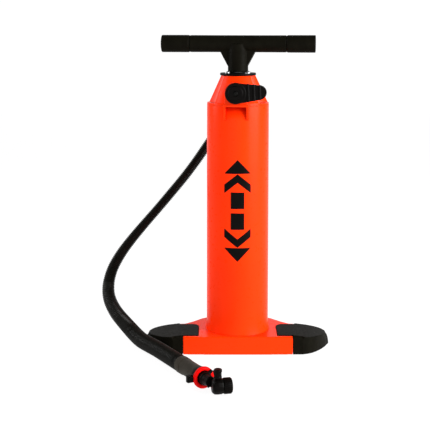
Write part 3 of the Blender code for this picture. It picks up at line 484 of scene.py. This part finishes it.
FLARE_TOP = 0.060            # height where the barrel starts to flare
FLARE_HEIGHT = 0.0257
BARREL_STEPS = 192           # facets round the barrel


def barrel_radius(z):
    """The barrel widens a little downwards and flares softly onto the base."""
    flare = max(0.0, (FLARE_TOP - z) / FLARE_HEIGHT)
    taper = min(1.0, (RIM_Z - z) / (RIM_Z - FLARE_TOP))
    return BARREL_R + 0.0009 * taper + 0.0023 * flare ** 2


def make_barrel():
    """Outer tube with the shelf and two ribs of the bracket moulded on its front."""
    top, low = RIM_Z - 0.0008, BASE_TOP + 0.0003
    heights = [RIM_Z - 0.05, 0.30, 0.15, FLARE_TOP]
    heights += [FLARE_TOP - FLARE_HEIGHT * i / 8 for i in range(1, 8)] + [low]
    outer = [(barrel_radius(z), z) for z in heights]
    crown = [(BARREL_BORE_R, top), (BARREL_R, top), (BARREL_R, RIM_Z - 0.0270)]
    tube = lathe(rounded(crown, 0.0007, closed=False) + outer + [(BARREL_BORE_R, low)], BARREL_STEPS)
    half, front, back, rib_width = 0.0228, -0.0655, -0.045, 0.0036
    plate_low, plate_high, rib_end = RIM_Z - 0.0016, RIM_Z + 0.0027, RIM_Z - 0.0255
    plate = bevelled(box((-half, front, plate_low), (half, back, plate_high)), 0.0005)
    side = [(-back, plate_low + 0.001), (-front, plate_low + 0.001), (0.0572, rib_end), (-back, rib_end)]
    # The ribs are drawn from the side: local X turns to -Y, local Y to +Z and local Z to +X.
    sidelong = Matrix(((0, 0, 1, 0), (-1, 0, 0, 0), (0, 1, 0, 0), (0, 0, 0, 1)))
    joins = []
    for x in (-half, half - rib_width):
        rib = bevelled(prism(rounded(side, 0.0012), x, x + rib_width), 0.0004, 1)
        joins.append((rib, HEAD @ sidelong))
    rooms = [(rod(0.0563, RIM_Z - 0.05, RIM_Z + 0.01, BARREL_STEPS), HEAD),
             (rod(BARREL_R + 0.0003, top, RIM_Z + 0.01, BARREL_STEPS), HEAD)]
    bracket = build("bracket", plate, HEAD, joins, rooms)
    data = bmesh.new()
    data.from_mesh(bracket.data)
    bpy.data.objects.remove(bracket)
    show(build("barrel_shell", tube, joins=[(data, IDENTITY)]), ORANGE, "barrel", 30.0)


GRAPHIC_FILM = 0.00012       # thickness of the printed film
GRAPHIC_STRIP = 0.0015       # width of the flat strips that bend round the barrel


def wrapped(name, outline, centre_angle, centre_z):
    """A thin printed film round the barrel, from an outline of (distance round it, height)."""
    data = prism(outline, 0.0, GRAPHIC_FILM)
    xs = [x for x, _ in outline]
    x = min(xs) + GRAPHIC_STRIP
    while x < max(xs):
        geometry = list(data.verts) + list(data.edges) + list(data.faces)
        bmesh.ops.bisect_plane(data, geom=geometry, plane_co=(x, 0, 0), plane_no=(1, 0, 0), dist=1e-6)
        x += GRAPHIC_STRIP
    for vert in data.verts:
        z = centre_z + vert.co.y
        radius = barrel_radius(z) + 0.00002 + vert.co.z
        angle = centre_angle + vert.co.x / BARREL_R
        vert.co = (radius * math.sin(angle), -radius * math.cos(angle), z)
    return detail(mesh_object(name, data), BLACK, "barrel")


def make_graphic():
    """Plain double-action mark in place of any lettering: arrows up and down with bars between them."""
    angle, middle_z, half = math.radians(-1.5), 0.2720, 0.0250
    chevron = [(-half, -0.012), (0.0, 0.008), (half, -0.012), (half, 0.004), (0.0, 0.024), (-half, 0.004)]
    head = [(-half, -0.008), (0.0, 0.018), (half, -0.008)]
    wide, tall = 0.0125, 0.0155
    bar = [(-wide, -tall), (wide, -tall), (wide, tall), (-wide, tall)]
    for sign, way in ((1, "up"), (-1, "down")):
        marks = [("head", head, 0.0775), ("chevron", chevron, 0.0450), ("bar", bar, 0.0195)]
        for kind, shape, offset in marks:
            outline = [(x, sign * (y + offset)) for x, y in rounded(shape, 0.0010)]
            wrapped(f"graphic_{kind}_{way}", outline, angle, middle_z)


# ---------------------------------------------------------------- head


def shield(half_width, low, centre_z):
    """Round-topped shield in the plane across the lever's axis."""
    return [(-half_width, low), (half_width, low)] + arc((0.0, centre_z), half_width, 0, 180, 40)


def make_scallop(azimuth):
    """Cutter for one hollowed side of the cone: a leaning cylinder, narrower at the top."""
    foot, top = RIM_Z + 0.0030, HEAD_TOP + 0.001
    foot_r, top_r = 0.100, 0.060
    foot_floor, top_floor = 0.0445, 0.0262
    data = prism(arc((0.0, 0.0), foot_r, 0, 360 - 2, 179), foot, top)
    for vert in data.verts:
        if vert.co.z > (foot + top) / 2:
            vert.co.x *= top_r / foot_r
            vert.co.y *= top_r / foot_r
            vert.co.x += top_floor + top_r
        else:
            vert.co.x += foot_floor + foot_r
    return data, HEAD @ about_z(math.radians(azimuth))


def make_head():
    """Hollow cone cap with a front boss, a rear outlet, two hollowed sides and a lip over the barrel."""
    cone_foot = (0.0562, RIM_Z + 0.0057)
    band_r, band_low = 0.0575, RIM_Z + 0.0006
    tube_low, roof = RIM_Z - 0.0075, RIM_Z + 0.0455
    profile = [
        (0.0335, HEAD_TOP), cone_foot, (band_r, RIM_Z + 0.0042), (band_r, band_low), (0.0527, band_low),
        (0.0420, RIM_Z + 0.0012), (0.0235, roof), (0.0172, roof), (0.0172, tube_low), (0.0140, tube_low),
        (0.0140, HEAD_TOP)]
    port = LEVER_SPOT.z
    joins = [
        (prism(shield(0.0205, RIM_Z + 0.0031, port), 0.0215, 0.0663), HEAD @ FRONT),
        (rod(0.0165, 0.0300, 0.0645, 96), OUTLET)]
    cuts = [
        (rod(0.0125, 0.0250, 0.0750), HEAD @ FRONT @ shift(y=port)),
        (rod(0.0115, 0.0250, 0.0700), OUTLET)]
    data = build("cone", lathe(profile, 160), HEAD, cuts=[make_scallop(-13.7), make_scallop(193.7)])
    cone = bmesh.new()
    cone.from_mesh(data.data)
    bpy.data.objects.remove(data)
    head = build("head_shell", cone, IDENTITY, joins, cuts)
    show(soften(head, 0.0007, 5), ORANGE, "head_cap", None)
    lip = [(0.0568, RIM_Z + 0.0026), (0.0576, RIM_Z + 0.0026), (0.0578, RIM_Z + 0.0020),
           (0.0578, RIM_Z - 0.0005), (0.0573, RIM_Z - 0.0005), (0.0573, RIM_Z + 0.0007),
           (0.0568, RIM_Z + 0.0009)]
    detail(mesh_object("head_lip", lathe(lip, 192)), ORANGE, "head_cap")


def cross_screw(name, head_r, head_h, place, node, metal):
    """Domed screw head with a cross recess; its seat is at local z = 0."""
    dome = [(0.0, head_h)] + [(head_r * math.sin(a), head_h * math.cos(a) ** 0.8)
                              for a in (math.radians(10 * i) for i in range(1, 9))]
    shank_r, shank_end = head_r * 0.4, -0.006
    profile = dome + [(head_r, 0.0002), (head_r, 0.0), (shank_r, 0.0), (shank_r, shank_end), (0.0, shank_end)]
    slot_half, reach, first_turn = head_r * 0.10, head_r * 0.55, 0.4
    cuts = [(box((-reach, -slot_half, head_h * 0.35), (reach, slot_half, head_h * 2)), place @ about_z(turn))
            for turn in (first_turn, first_turn + math.pi / 2)]
    obj = build(name, lathe(profile, 40, closed=False), place, cuts=cuts)
    return show(obj, metal, node)


def make_gland():
    """Flange on the head with a raised middle, and its four screws."""
    low, high = HEAD_TOP + 0.0003, HEAD_TOP + 0.0063
    seat = high - 0.0014
    profile = [(0.0336, seat), (0.0336, low), (0.0114, low), (0.0114, high), (0.0195, high), (0.0208, seat)]
    show(mesh_object("gland_flange_fine", turned(profile, 0.0012, 128), HEAD), BLACK, "gland_flange")
    for i, (x, y) in enumerate(circle_places(0.0264, 4)):
        cross_screw(f"gland_screw_head_{i + 1}", 0.0045, 0.0024, HEAD @ shift(x, y, seat + 0.0002),
                    f"gland_screw_{i + 1}", STEEL)


# ---------------------------------------------------------------- mode lever


def lever_outline(hub_r, tip_r, reach):
    """Two circles joined by their tangents; the arm points along +X."""
    lean = math.degrees(math.acos((hub_r - tip_r) / reach))
    return arc((0, 0), hub_r, lean, 360 - lean, 48) + arc((reach, 0), tip_r, -lean, lean, 28)


def make_lever():
    """Raised hub disc and a thumb arm whose cross ribs stand a little past its sides."""
    tilt = LEVER @ about_z(math.radians(2.5))
    arm = prism(lever_outline(0.0186, 0.0131, 0.0430), 0.0, 0.0104)
    joins = [(capped([(0.0, 0.0112), (0.0192, 0.0112), (0.0192, 0.0), (0.0, 0.0)], 0.0015), tilt),
             (capped([(0.0, 0.0136), (0.0130, 0.0136), (0.0140, 0.0100), (0.0, 0.0100)], 0.0010), tilt)]
    for x, half in ((0.0225, 0.0165), (0.0330, 0.0152), (0.0435, 0.0137)):
        joins.append((bevelled(box((x - 0.0023, -half, 0.0), (x + 0.0023, half, 0.0114)), 0.0014), tilt))
    cuts = [(rod(0.0048, 0.0118, 0.02), LEVER), (rod(0.0063, -0.01, 0.0040), LEVER)]
    lever = build("mode_lever_fine", arm, tilt, joins, cuts)
    show(soften(lever, 0.00042, 4), BLACK, "mode_lever", None)
    cross_screw("lever_screw_head", 0.0044, 0.0016, LEVER @ shift(z=0.0119), "lever_screw", BLACK_STEEL)


# ---------------------------------------------------------------- rod and handle


def make_rod():
    """Hollow piston rod."""
    tube = [(0.0095, ROD_TOP), (ROD_R, ROD_TOP), (ROD_R, ROD_LOW), (0.0095, ROD_LOW)]
    show(mesh_object("piston_rod_fine", turned(tube, 0.0004, 96), IDENTITY), ALUMINIUM, "piston_rod")


def make_handle():
    """Centre bar with a round neck between two tapering webs, and a grip on each end."""
    drop = HEAD_TOP + 0.0068 - HANDLE_Z
    bar_r, grip_r = 0.0157, 0.0161
    inner = 0.0900
    half_waist = 0.032
    profile = [(0.0, inner), (grip_r - 0.0003, inner), (bar_r, half_waist), (bar_r, -half_waist),
               (grip_r - 0.0003, -inner), (0.0, -inner)]
    neck = capped([(0.0, 0.0), (0.0190, 0.0), (0.0190, drop), (0.0, drop)], 0.0006)
    top, half_top = drop + 0.0400, 0.0340
    bottom, half_bottom = drop + 0.0110, 0.0185
    web = [(half_bottom, bottom), (half_top, top), (-half_top, top), (-half_bottom, bottom)]
    joins = [(neck, HANDLE), (prism(web, -0.0095, 0.0095), HANDLE @ FRONT)]
    cuts = [(rod(0.0114, drop - 0.01, ROD_TOP + 0.0005 - HANDLE_Z), HANDLE)]
    bar = build("handle_bar_fine", capped(profile, 0.0008), HANDLE @ ACROSS, joins, cuts)
    show(soften(bar, 0.0008, 5), GRIP, "handle_bar", None)
    start, end, groove_r = 0.0903, 0.1436, grip_r - 0.0009
    grip = [(0.0, end), (grip_r, end), (grip_r, start + 0.0022), (groove_r, start + 0.0012),
            (groove_r, start), (0.0, start)]
    for name, place in (("right", HANDLE @ ACROSS), ("left", HANDLE @ about_z(math.pi) @ ACROSS)):
        show(mesh_object(f"grip_{name}_fine", capped(grip, 0.0012), place), GRIP, f"grip_{name}", 50.0)


# ---------------------------------------------------------------- base and feet

JOINT_FRONT = (0.1028, -0.0645)
JOINT_REAR = (0.1115, 0.0215)
FOOT_SCREW_X = 0.0870
FOOT_SCREW_YS = (-0.040, -0.010)
POCKET_TOP = 0.0245
FOOT_HEIGHT = 0.0360


def mirrored(points):
    """An outline's right half followed by its mirror image."""
    return points + [(-x, y) for x, y in reversed(points) if x > 0.0003]


def tongue_outline(grow):
    """Outline of the right foot's tongue on the base plate, grown all round for its recess."""
    inner, front, rear, corner = 0.0749 - grow, -0.0570 - grow, 0.0160 + grow, 0.0140
    outer = JOINT_REAR[0] + 0.0015
    return [(outer, front), (inner, front)] + arc((inner + corner, rear - corner), corner, 180, 90, 12) + [
        (outer, rear)]


def sided(data, side):
    """Mirror a shape modelled on the right to the left when side is -1."""
    bmesh.ops.transform(data, matrix=Matrix.Diagonal((side, 1, 1, 1)), verts=data.verts)
    return data


def make_base():
    """Base plate with a rounded front crest, pockets below, and recesses for the feet's tongues."""
    front = [(0.0, -0.0665), (0.0500, -0.0661)]
    shoulder = [(0.1017, 0.0217), (0.0850, 0.0380), (0.0685, 0.0580)]
    back = [(0.0600, 0.0635), (0.0480, 0.0660), (0.0, 0.0665)]
    data = prism(mirrored(front + [JOINT_FRONT, JOINT_REAR] + shoulder + back), 0.0, BASE_TOP)
    crest = [e for e in data.edges if min(v.co.z for v in e.verts) > 0.03 and
             max(v.co.y for v in e.verts) < -0.06 and max(abs(v.co.x) for v in e.verts) < 0.104]
    bmesh.ops.bevel(data, geom=crest, offset=0.0065, segments=8, profile=0.5, affect="EDGES")
    rib = 0.004
    pocket_front = [(rib, -0.0610), (0.0980, -0.0600), (0.1035, -rib), (rib, -rib)]
    pocket_rear = [(rib, rib), (0.1040, rib), (0.1055, 0.0160), (0.0985, 0.0165), (0.0820, 0.0325),
                   (0.0655, 0.0520), (0.0570, 0.0580), (0.0450, 0.0605), (rib, 0.0610)]
    cuts = []
    for side in (1, -1):
        for outline in (pocket_front, pocket_rear):
            cuts.append((sided(prism(rounded(outline, 0.003), -0.01, POCKET_TOP), side), IDENTITY))
        cuts.append((sided(prism(tongue_outline(0.0003), 0.0297, BASE_TOP + 0.01), side), IDENTITY))
        for y in FOOT_SCREW_YS:
            cuts.append((rod(0.0024, 0.02, 0.04), shift(side * FOOT_SCREW_X, y)))
    for x, y in circle_places(0.0230, 4):
        cuts.append((rod(0.0060, 0.02, 0.04), shift(x, y)))
    base = build("base_plate_fine", data, cuts=cuts)
    show(soften(base, 0.0009, 4), ORANGE, "base_plate", None)


def foot_top(x):
    """Height of a foot's top face, which falls towards the tip."""
    t = max(0.0, (x - JOINT_FRONT[0]) / (FOOT_TIP - JOINT_FRONT[0]))
    return FOOT_HEIGHT - 0.0088 * t


def smooth_outline(points, step):
    """Closely spaced points on a smooth curve through an outline's points."""
    route = smooth_route([Vector((x, y, 0)) for x, y in points], step)
    return [(p.x, p.y) for p in route]


def round_tip(foot):
    """Draw the upper part of a foot in and down towards its tip, so that it ends in a round nose."""
    start, drop, draw_in = 0.128, 0.0075, 0.0085
    for vert in foot.data.vertices:
        out = min(1.0, max(0.0, (abs(vert.co.x) - start) / (FOOT_TIP - start)))
        height = max(0.0, vert.co.z / FOOT_HEIGHT)
        vert.co.x -= math.copysign(draw_in * out ** 2 * height ** 2, vert.co.x)
        vert.co.z -= drop * out ** 2.5 * height
    return foot


def make_foot(side, name):
    """Hollow foot at one end of the base plate, with its tongue on the plate."""
    start = (JOINT_FRONT[0] + 0.0003, JOINT_FRONT[1] - 0.0005)
    curve = [(0.1221, -0.0644), (0.1338, -0.0597), (0.1460, -0.0498), (0.1591, -0.0327), (0.1685, -0.0165),
             (0.1737, -0.0038), (FOOT_TIP, 0.0037), (0.1765, 0.0110), (0.1725, 0.0175), (0.1660, 0.0205)]
    end = (JOINT_REAR[0] + 0.0003, JOINT_REAR[1])
    outline = [start] + smooth_outline(curve, 0.003) + [end]
    data = prism(outline, 0.0, FOOT_HEIGHT)
    for vert in data.verts:
        if vert.co.z > 0.02:
            vert.co.z = foot_top(vert.co.x)
    joint, rear = JOINT_REAR[0] + 0.002, 0.0150
    rim = [e for e in data.edges if min(v.co.z for v in e.verts) > 0.02 and
           max(v.co.x for v in e.verts) > joint and min(v.co.y for v in e.verts) < rear]
    bmesh.ops.bevel(data, geom=rim, offset=0.0070, segments=6, profile=0.5, affect="EDGES")
    hollow = [(0.1085, -0.0600), (0.1200, -0.0590), (0.1310, -0.0545), (0.1420, -0.0455), (0.1550, -0.0290),
              (0.1650, -0.0100), (0.1700, 0.0020), (0.1685, 0.0110), (0.1640, 0.0145), (0.1170, 0.0165)]
    joins = [(sided(prism(tongue_outline(0.0), 0.0300, 0.0350), side), IDENTITY)]
    cuts = [(sided(prism(rounded(hollow, 0.003), -0.01, 0.0200), side), IDENTITY)]
    foot = build(f"foot_{name}_fine", sided(data, side), joins=joins, cuts=cuts)
    show(round_tip(soften(foot, 0.0007, 4)), GRIP, f"foot_{name}", None)


# ---------------------------------------------------------------- elbow and hose


def smooth_route(anchors, step):
    """Points about a step apart on the curve that passes through the anchors (centripetal Catmull-Rom)."""
    ends = [anchors[0] * 2 - anchors[1]] + anchors + [anchors[-1] * 2 - anchors[-2]]
    route = [anchors[0]]
    for p0, p1, p2, p3 in zip(ends, ends[1:], ends[2:], ends[3:]):
        t1 = (p1 - p0).length ** 0.5
        t2 = t1 + (p2 - p1).length ** 0.5
        t3 = t2 + (p3 - p2).length ** 0.5
        count = max(1, round((p2 - p1).length / step))
        for i in range(1, count + 1):
            t = t1 + (t2 - t1) * i / count
            a1 = p0 * ((t1 - t) / t1) + p1 * (t / t1)
            a2 = p1 * ((t2 - t) / (t2 - t1)) + p2 * ((t - t1) / (t2 - t1))
            a3 = p2 * ((t3 - t) / (t3 - t2)) + p3 * ((t - t2) / (t3 - t2))
            b1 = a1 * ((t2 - t) / t2) + a2 * (t / t2)
            b2 = a2 * ((t3 - t) / (t3 - t1)) + a3 * ((t - t1) / (t3 - t1))
            route.append(b1 * ((t2 - t) / (t2 - t1)) + b2 * ((t - t1) / (t2 - t1)))
    return route


def even_route(points, step):
    """The same line with its points evenly spaced."""
    lengths = [0.0]
    for first, second in zip(points, points[1:]):
        lengths.append(lengths[-1] + (second - first).length)
    count = round(lengths[-1] / step)
    out, k = [], 0
    for i in range(count + 1):
        want = lengths[-1] * i / count
        while k < len(points) - 2 and lengths[k + 1] < want:
            k += 1
        share = (want - lengths[k]) / max(1e-9, lengths[k + 1] - lengths[k])
        out.append(points[k].lerp(points[k + 1], share))
    return out


def sweep(route, radii, sides):
    """A closed tube along a route, with one radius for each point and no twist."""
    data = bmesh.new()
    tangent = (route[1] - route[0]).normalized()
    across = tangent.orthogonal().normalized()
    rings = []
    for i, (point, radius) in enumerate(zip(route, radii)):
        ahead = route[min(i + 1, len(route) - 1)] - route[max(i - 1, 0)]
        turn = tangent.rotation_difference(ahead.normalized())
        tangent = ahead.normalized()
        across = (turn @ across).normalized()
        other = tangent.cross(across)
        ring = []
        for k in range(sides):
            a = 2 * math.pi * k / sides
            ring.append(data.verts.new(point + (across * math.cos(a) + other * math.sin(a)) * radius))
        rings.append(ring)
    for first, second in zip(rings, rings[1:]):
        for k in range(sides):
            j = (k + 1) % sides
            data.faces.new((first[k], first[j], second[j], second[k]))
    data.faces.new(reversed(rings[0]))
    data.faces.new(rings[-1])
    return data


def hose_radius(z):
    """Thin on the hanging stretch, growing towards the floor."""
    t = min(1.0, max(0.0, (HOSE_THIN_ABOVE - z) / HOSE_GROWTH))
    return HOSE_THIN_R + (HOSE_THICK_R - HOSE_THIN_R) * t ** 1.4


def make_hose():
    """Corrugated hose: rounded ribs, deeper where it hangs stretched and shallower where it lies compressed."""
    start = ELBOW_END + DOWN_LEFT * 0.0003
    anchors = [start, ELBOW_END + DOWN_LEFT * 0.020] + [Vector(p) for p in HOSE_POINTS]
    anchors += [FITTING_START - FITTING_DIRECTION * 0.016, FITTING_START - FITTING_DIRECTION * 0.0003]
    samples = 6
    route = even_route(smooth_route(anchors, 0.002), HOSE_PITCH / samples)
    radii = []
    for i, point in enumerate(route):
        depth = 0.0017 if point.z > 0.10 else 0.0013
        wave = math.cos(2 * math.pi * i / samples)
        radii.append(hose_radius(point.z) + depth * (wave - 1.0) * 0.5)
    hose = show(mesh_object("hose_corrugated", sweep(route, radii, 40)), HOSE, "hose", 60.0)
    even_route(route, 0.006)


def make_elbow():
    """Swivel elbow behind the head, its ribbed union nut, and the hose's inlet cuff."""
    points = [OUTLET @ Vector((0, 0, 0.0672))]
    for i in range(25):
        a = math.radians(90) * i / 24
        points.append(BEND_START + BEND_R * (OUTWARD * math.sin(a) + DOWN_LEFT * (1 - math.cos(a))))
    points.append(ELBOW_END)
    collar = turned([(0.0095, 0.0667), (0.0163, 0.0667), (0.0163, 0.0692), (0.0095, 0.0692)], 0.0003)
    pipe = sweep(points, [0.0120] * len(points), 64)
    show(build("hose_elbow_fine", pipe, joins=[(collar, OUTLET)]), BLACK, "hose_elbow")
    nut_profile = [(0.0195, 0.0745), (0.0195, 0.0595), (0.0169, 0.0595), (0.0169, 0.0696), (0.0126, 0.0696),
                   (0.0126, 0.0745)]
    ribs = []
    for i in range(16):
        place = OUTLET @ about_z(2 * math.pi * i / 16)
        ribs.append((bevelled(box((0.0185, -0.0012, 0.0605), (0.0201, 0.0012, 0.0735)), 0.0003), place))
    nut = build("elbow_nut_fine", turned(nut_profile, 0.0010), OUTLET, joins=ribs)
    show(nut, BLACK, "elbow_nut")
    cuff = [(0.0128, 0.0230), (0.0138, 0.0100), (0.0150, -0.0100), (0.0150, -0.0110), (0.0122, -0.0110),
            (0.0122, 0.0003), (0.0108, 0.0010), (0.0108, 0.0230)]
    return show(mesh_object("hose_inlet_cuff_fine", turned(cuff, 0.0006), along(DOWN_LEFT, ELBOW_END)), BLACK,
                "hose_inlet_cuff")


# ---------------------------------------------------------------- hose end fitting


def make_end_cuff():
    """Soft grey cuff between the hose and the coupler, with a moulded ring at each end."""
    back, end = -FITTING_LENGTH, -0.0160
    profile = [(0.0, end), (0.0150, end), (0.0150, end - 0.0060), (0.0144, end - 0.0070),
               (0.0144, end - 0.0200), (0.0148, back + 0.0180), (0.0155, back + 0.0170),
               (0.0157, back + 0.0020), (0.0150, back), (0.0, back)]
    cuff = mesh_object("hose_end_cuff_fine", capped(profile, 0.0008, 96), FITTING)
    return show(cuff, CUFF, "hose_end_cuff")


def level_frame(direction, origin):
    """Local Y along a direction, local X level and to its right."""
    ahead = Vector(direction).normalized()
    right = ahead.cross(Vector((0, 0, 1))).normalized()
    turn = Matrix((right, ahead, right.cross(ahead))).transposed().to_4x4()
    return Matrix.Translation(origin) @ turn


def make_coupler():
    """Bayonet collar with a finger lug on each side, and the red seal on its face."""
    back, face = -0.0157, -0.0034
    profile = [(0.0, face), (0.0172, face), (0.0172, face - 0.0060), (0.0158, face - 0.0070), (0.0158, back),
               (0.0, back)]
    level = level_frame(FITTING_DIRECTION, RING_CENTRE)
    lugs = []
    for side in (1, -1):
        lug = bevelled(box((0.0140, -0.0125, -0.0074), (0.0280, -0.0040, 0.0060)), 0.0018)
        boss = capped([(0.0, 0.0134), (0.0042, 0.0134), (0.0042, 0.0), (0.0, 0.0)], 0.0008, 32)
        lugs.append((sided(lug, side), level))
        lugs.append((sided(boss, side), level @ shift(x=side * 0.0215) @ FRONT.inverted() @ FLIPPED))
    coupler = build("coupler_body_fine", capped(profile, 0.0010), FITTING, joins=lugs)
    body = show(soften(coupler, 0.00045, 3), BLACK, "coupler_body", None)
    ring = [(0.0180, -0.0031), (0.0130, -0.0031), (0.0122, -0.0022), (0.0122, 0.0012), (0.0134, 0.0030),
            (0.0174, 0.0030), (0.0190, 0.0012), (0.0190, -0.0022)]
    ring = show(mesh_object("coupler_ring_fine", turned(ring, 0.0022), FITTING), RED, "coupler_ring", 60.0)
    return body, ring


def make_stem():
    """Valve adapter's stem, with the two bayonet ears that lock it in the coupler."""
    profile = [(0.0, 0.0275), (0.0090, 0.0275), (0.0094, 0.0180), (0.0098, 0.0120), (0.0114, 0.0100),
               (0.0117, -0.0031), (0.0, -0.0031)]
    level = level_frame(FITTING_DIRECTION, RING_CENTRE)
    ears = []
    for turn in (-64.0, 42.0):
        place = level @ Matrix.Rotation(math.radians(180 + turn), 4, "Y")
        ears.append((bevelled(box((0.0080, 0.0034, -0.0030), (0.0186, 0.0066, 0.0030)), 0.0008), place))
    stem = build("nozzle_stem_fine", capped(profile, 0.0008), FITTING, joins=ears)
    return show(soften(stem, 0.00045, 3), BLACK, "nozzle_stem", None)


def make_adapter():
    """Faceted knuckle with its outlet under a knurled ring, and an upright stub under a soft cap."""
    body = lathe([(0.0, 0.0084), (0.0124, 0.0084), (0.0137, 0.0060), (0.0139, -0.0010), (0.0133, -0.0066),
                  (0.0100, -0.0104), (0.0, -0.0104)], 12, closed=False)
    joins = [(capped([(0.0, 0.0200), (0.0066, 0.0200), (0.0066, 0.0), (0.0, 0.0)], 0.0004), SIDEWAYS),
             (capped([(0.0, 0.0255), (0.0038, 0.0255), (0.0038, 0.0), (0.0, 0.0)], 0.0004), UPRIGHT)]
    cuts = [(rod(0.0042, 0.0, 0.03), SIDEWAYS), (rod(0.0150, 0.0, 0.0278), FITTING)]
    knuckle = show(build("adapter_knuckle_fine", bevelled(body, 0.0007), SIDEWAYS, joins, cuts), BLACK,
                   "adapter_knuckle", 25.0)
    profile = [(0.0118, 0.0235), (0.0130, 0.0221), (0.0130, 0.0094), (0.0127, 0.0088), (0.0070, 0.0088),
               (0.0070, 0.0205), (0.0055, 0.0205), (0.0055, 0.0235)]
    ribs = []
    for i in range(24):
        place = SIDEWAYS @ about_z(2 * math.pi * i / 24)
        ribs.append((bevelled(box((0.0120, -0.0008, 0.0100), (0.0137, 0.0008, 0.0218)), 0.0003), place))
    ring = build("adapter_ring_fine", turned(profile, 0.0006), SIDEWAYS, joins=ribs)
    show(ring, BLACK, "adapter_ring")
    top = 0.0300
    cap_profile = [(0.0, top), (0.0060, top), (0.0070, top - 0.0010), (0.0070, top - 0.0045),
                   (0.0062, top - 0.0055), (0.0062, 0.0185), (0.0067, 0.0165),
                   (0.0067, 0.0148), (0.0041, 0.0148), (0.0041, 0.0260), (0.0, 0.0260)]
    cap = show(mesh_object("stub_cap_fine", capped(cap_profile, 0.0004, 64), UPRIGHT), BLACK, "stub_cap")
    return knuckle, ring, cap


# ---------------------------------------------------------------- floor, light and camera


def make_floor():
    """Dull floor and a wall far behind it; both glow nearly white, so that no shadow shows on them."""
    half_size = 5.0
    pieces = (("floor", shift(z=-0.0004), 0.92), ("wall", shift(y=4.9) @ FRONT, 0.90))
    for name, place, glow in pieces:
        data = bmesh.new()
        bmesh.ops.create_grid(data, x_segments=1, y_segments=1, size=half_size)
        made = Shader(f"{name}_white", (0.14, 0.14, 0.14), 0.6, specular=0.0)
        made.roughness(made.noise(30.0, 2.0), 0.58, 0.66)
        made.shader.inputs["Emission Color"].default_value = (1.0, 1.0, 1.0, 1.0)
        made.shader.inputs["Emission Strength"].default_value = glow
        obj = mesh_object(name, data, place)
        obj.data.materials.append(made.material)


def area_light(name, place, target, size, power):
    """A rectangular white light at a place, turned towards a target; its power is in watts."""
    light = bpy.data.lights.new(name, "AREA")
    light.shape = "RECTANGLE"
    light.size, light.size_y = size
    light.energy = power
    lamp = bpy.data.objects.new(name, light)
    lamp.location = place
    lamp.rotation_euler = (Vector(target) - Vector(place)).to_track_quat("-Z", "Y").to_euler()
    bpy.context.scene.collection.objects.link(lamp)


def make_light():
    """Broad key from the right, a weak fill from the front and a narrow strip from the left."""
    world = bpy.data.worlds.new("studio")
    world.use_nodes = True
    background = world.node_tree.nodes["Background"]
    background.inputs["Color"].default_value = (1.0, 1.0, 1.0, 1.0)
    background.inputs["Strength"].default_value = 0.22
    bpy.context.scene.world = world
    area_light("key", (2.45, -1.4, 1.15), (0.0, 0.0, 0.28), (2.2, 2.2), 205.0)
    area_light("front", (-0.7, -2.7, 0.75), (0.0, 0.0, 0.28), (2.4, 1.6), 14.0)
    area_light("left_strip", (-1.5, 0.1, 1.0), (0.0, 0.0, 0.35), (0.4, 1.4), 20.0)


def make_camera():
    """Long lens a little above the handle, tilted slightly down."""
    data = bpy.data.cameras.new("camera")
    data.sensor_width = 36.0
    data.lens = 84.98
    data.shift_y = -0.12
    camera = bpy.data.objects.new("camera", data)
    camera.location = (-0.043, -1.9, 0.620)
    camera.rotation_euler = (math.radians(90.0 - 8.0), 0.0, 0.0)
    bpy.context.scene.collection.objects.link(camera)
    bpy.context.scene.camera = camera
    bpy.context.scene.view_settings.view_transform = "Standard"


# ---------------------------------------------------------------- build

make_camera()
make_light()
make_floor()
make_barrel()
make_graphic()
make_head()
make_gland()
make_lever()
make_rod()
make_handle()
make_base()
make_foot(1, "right")
make_foot(-1, "left")
inlet_cuff = make_elbow()
end_cuff = make_end_cuff()
coupler, red_ring = make_coupler()
stem = make_stem()
knuckle, lock_ring, stub_cap = make_adapter()
make_hose()
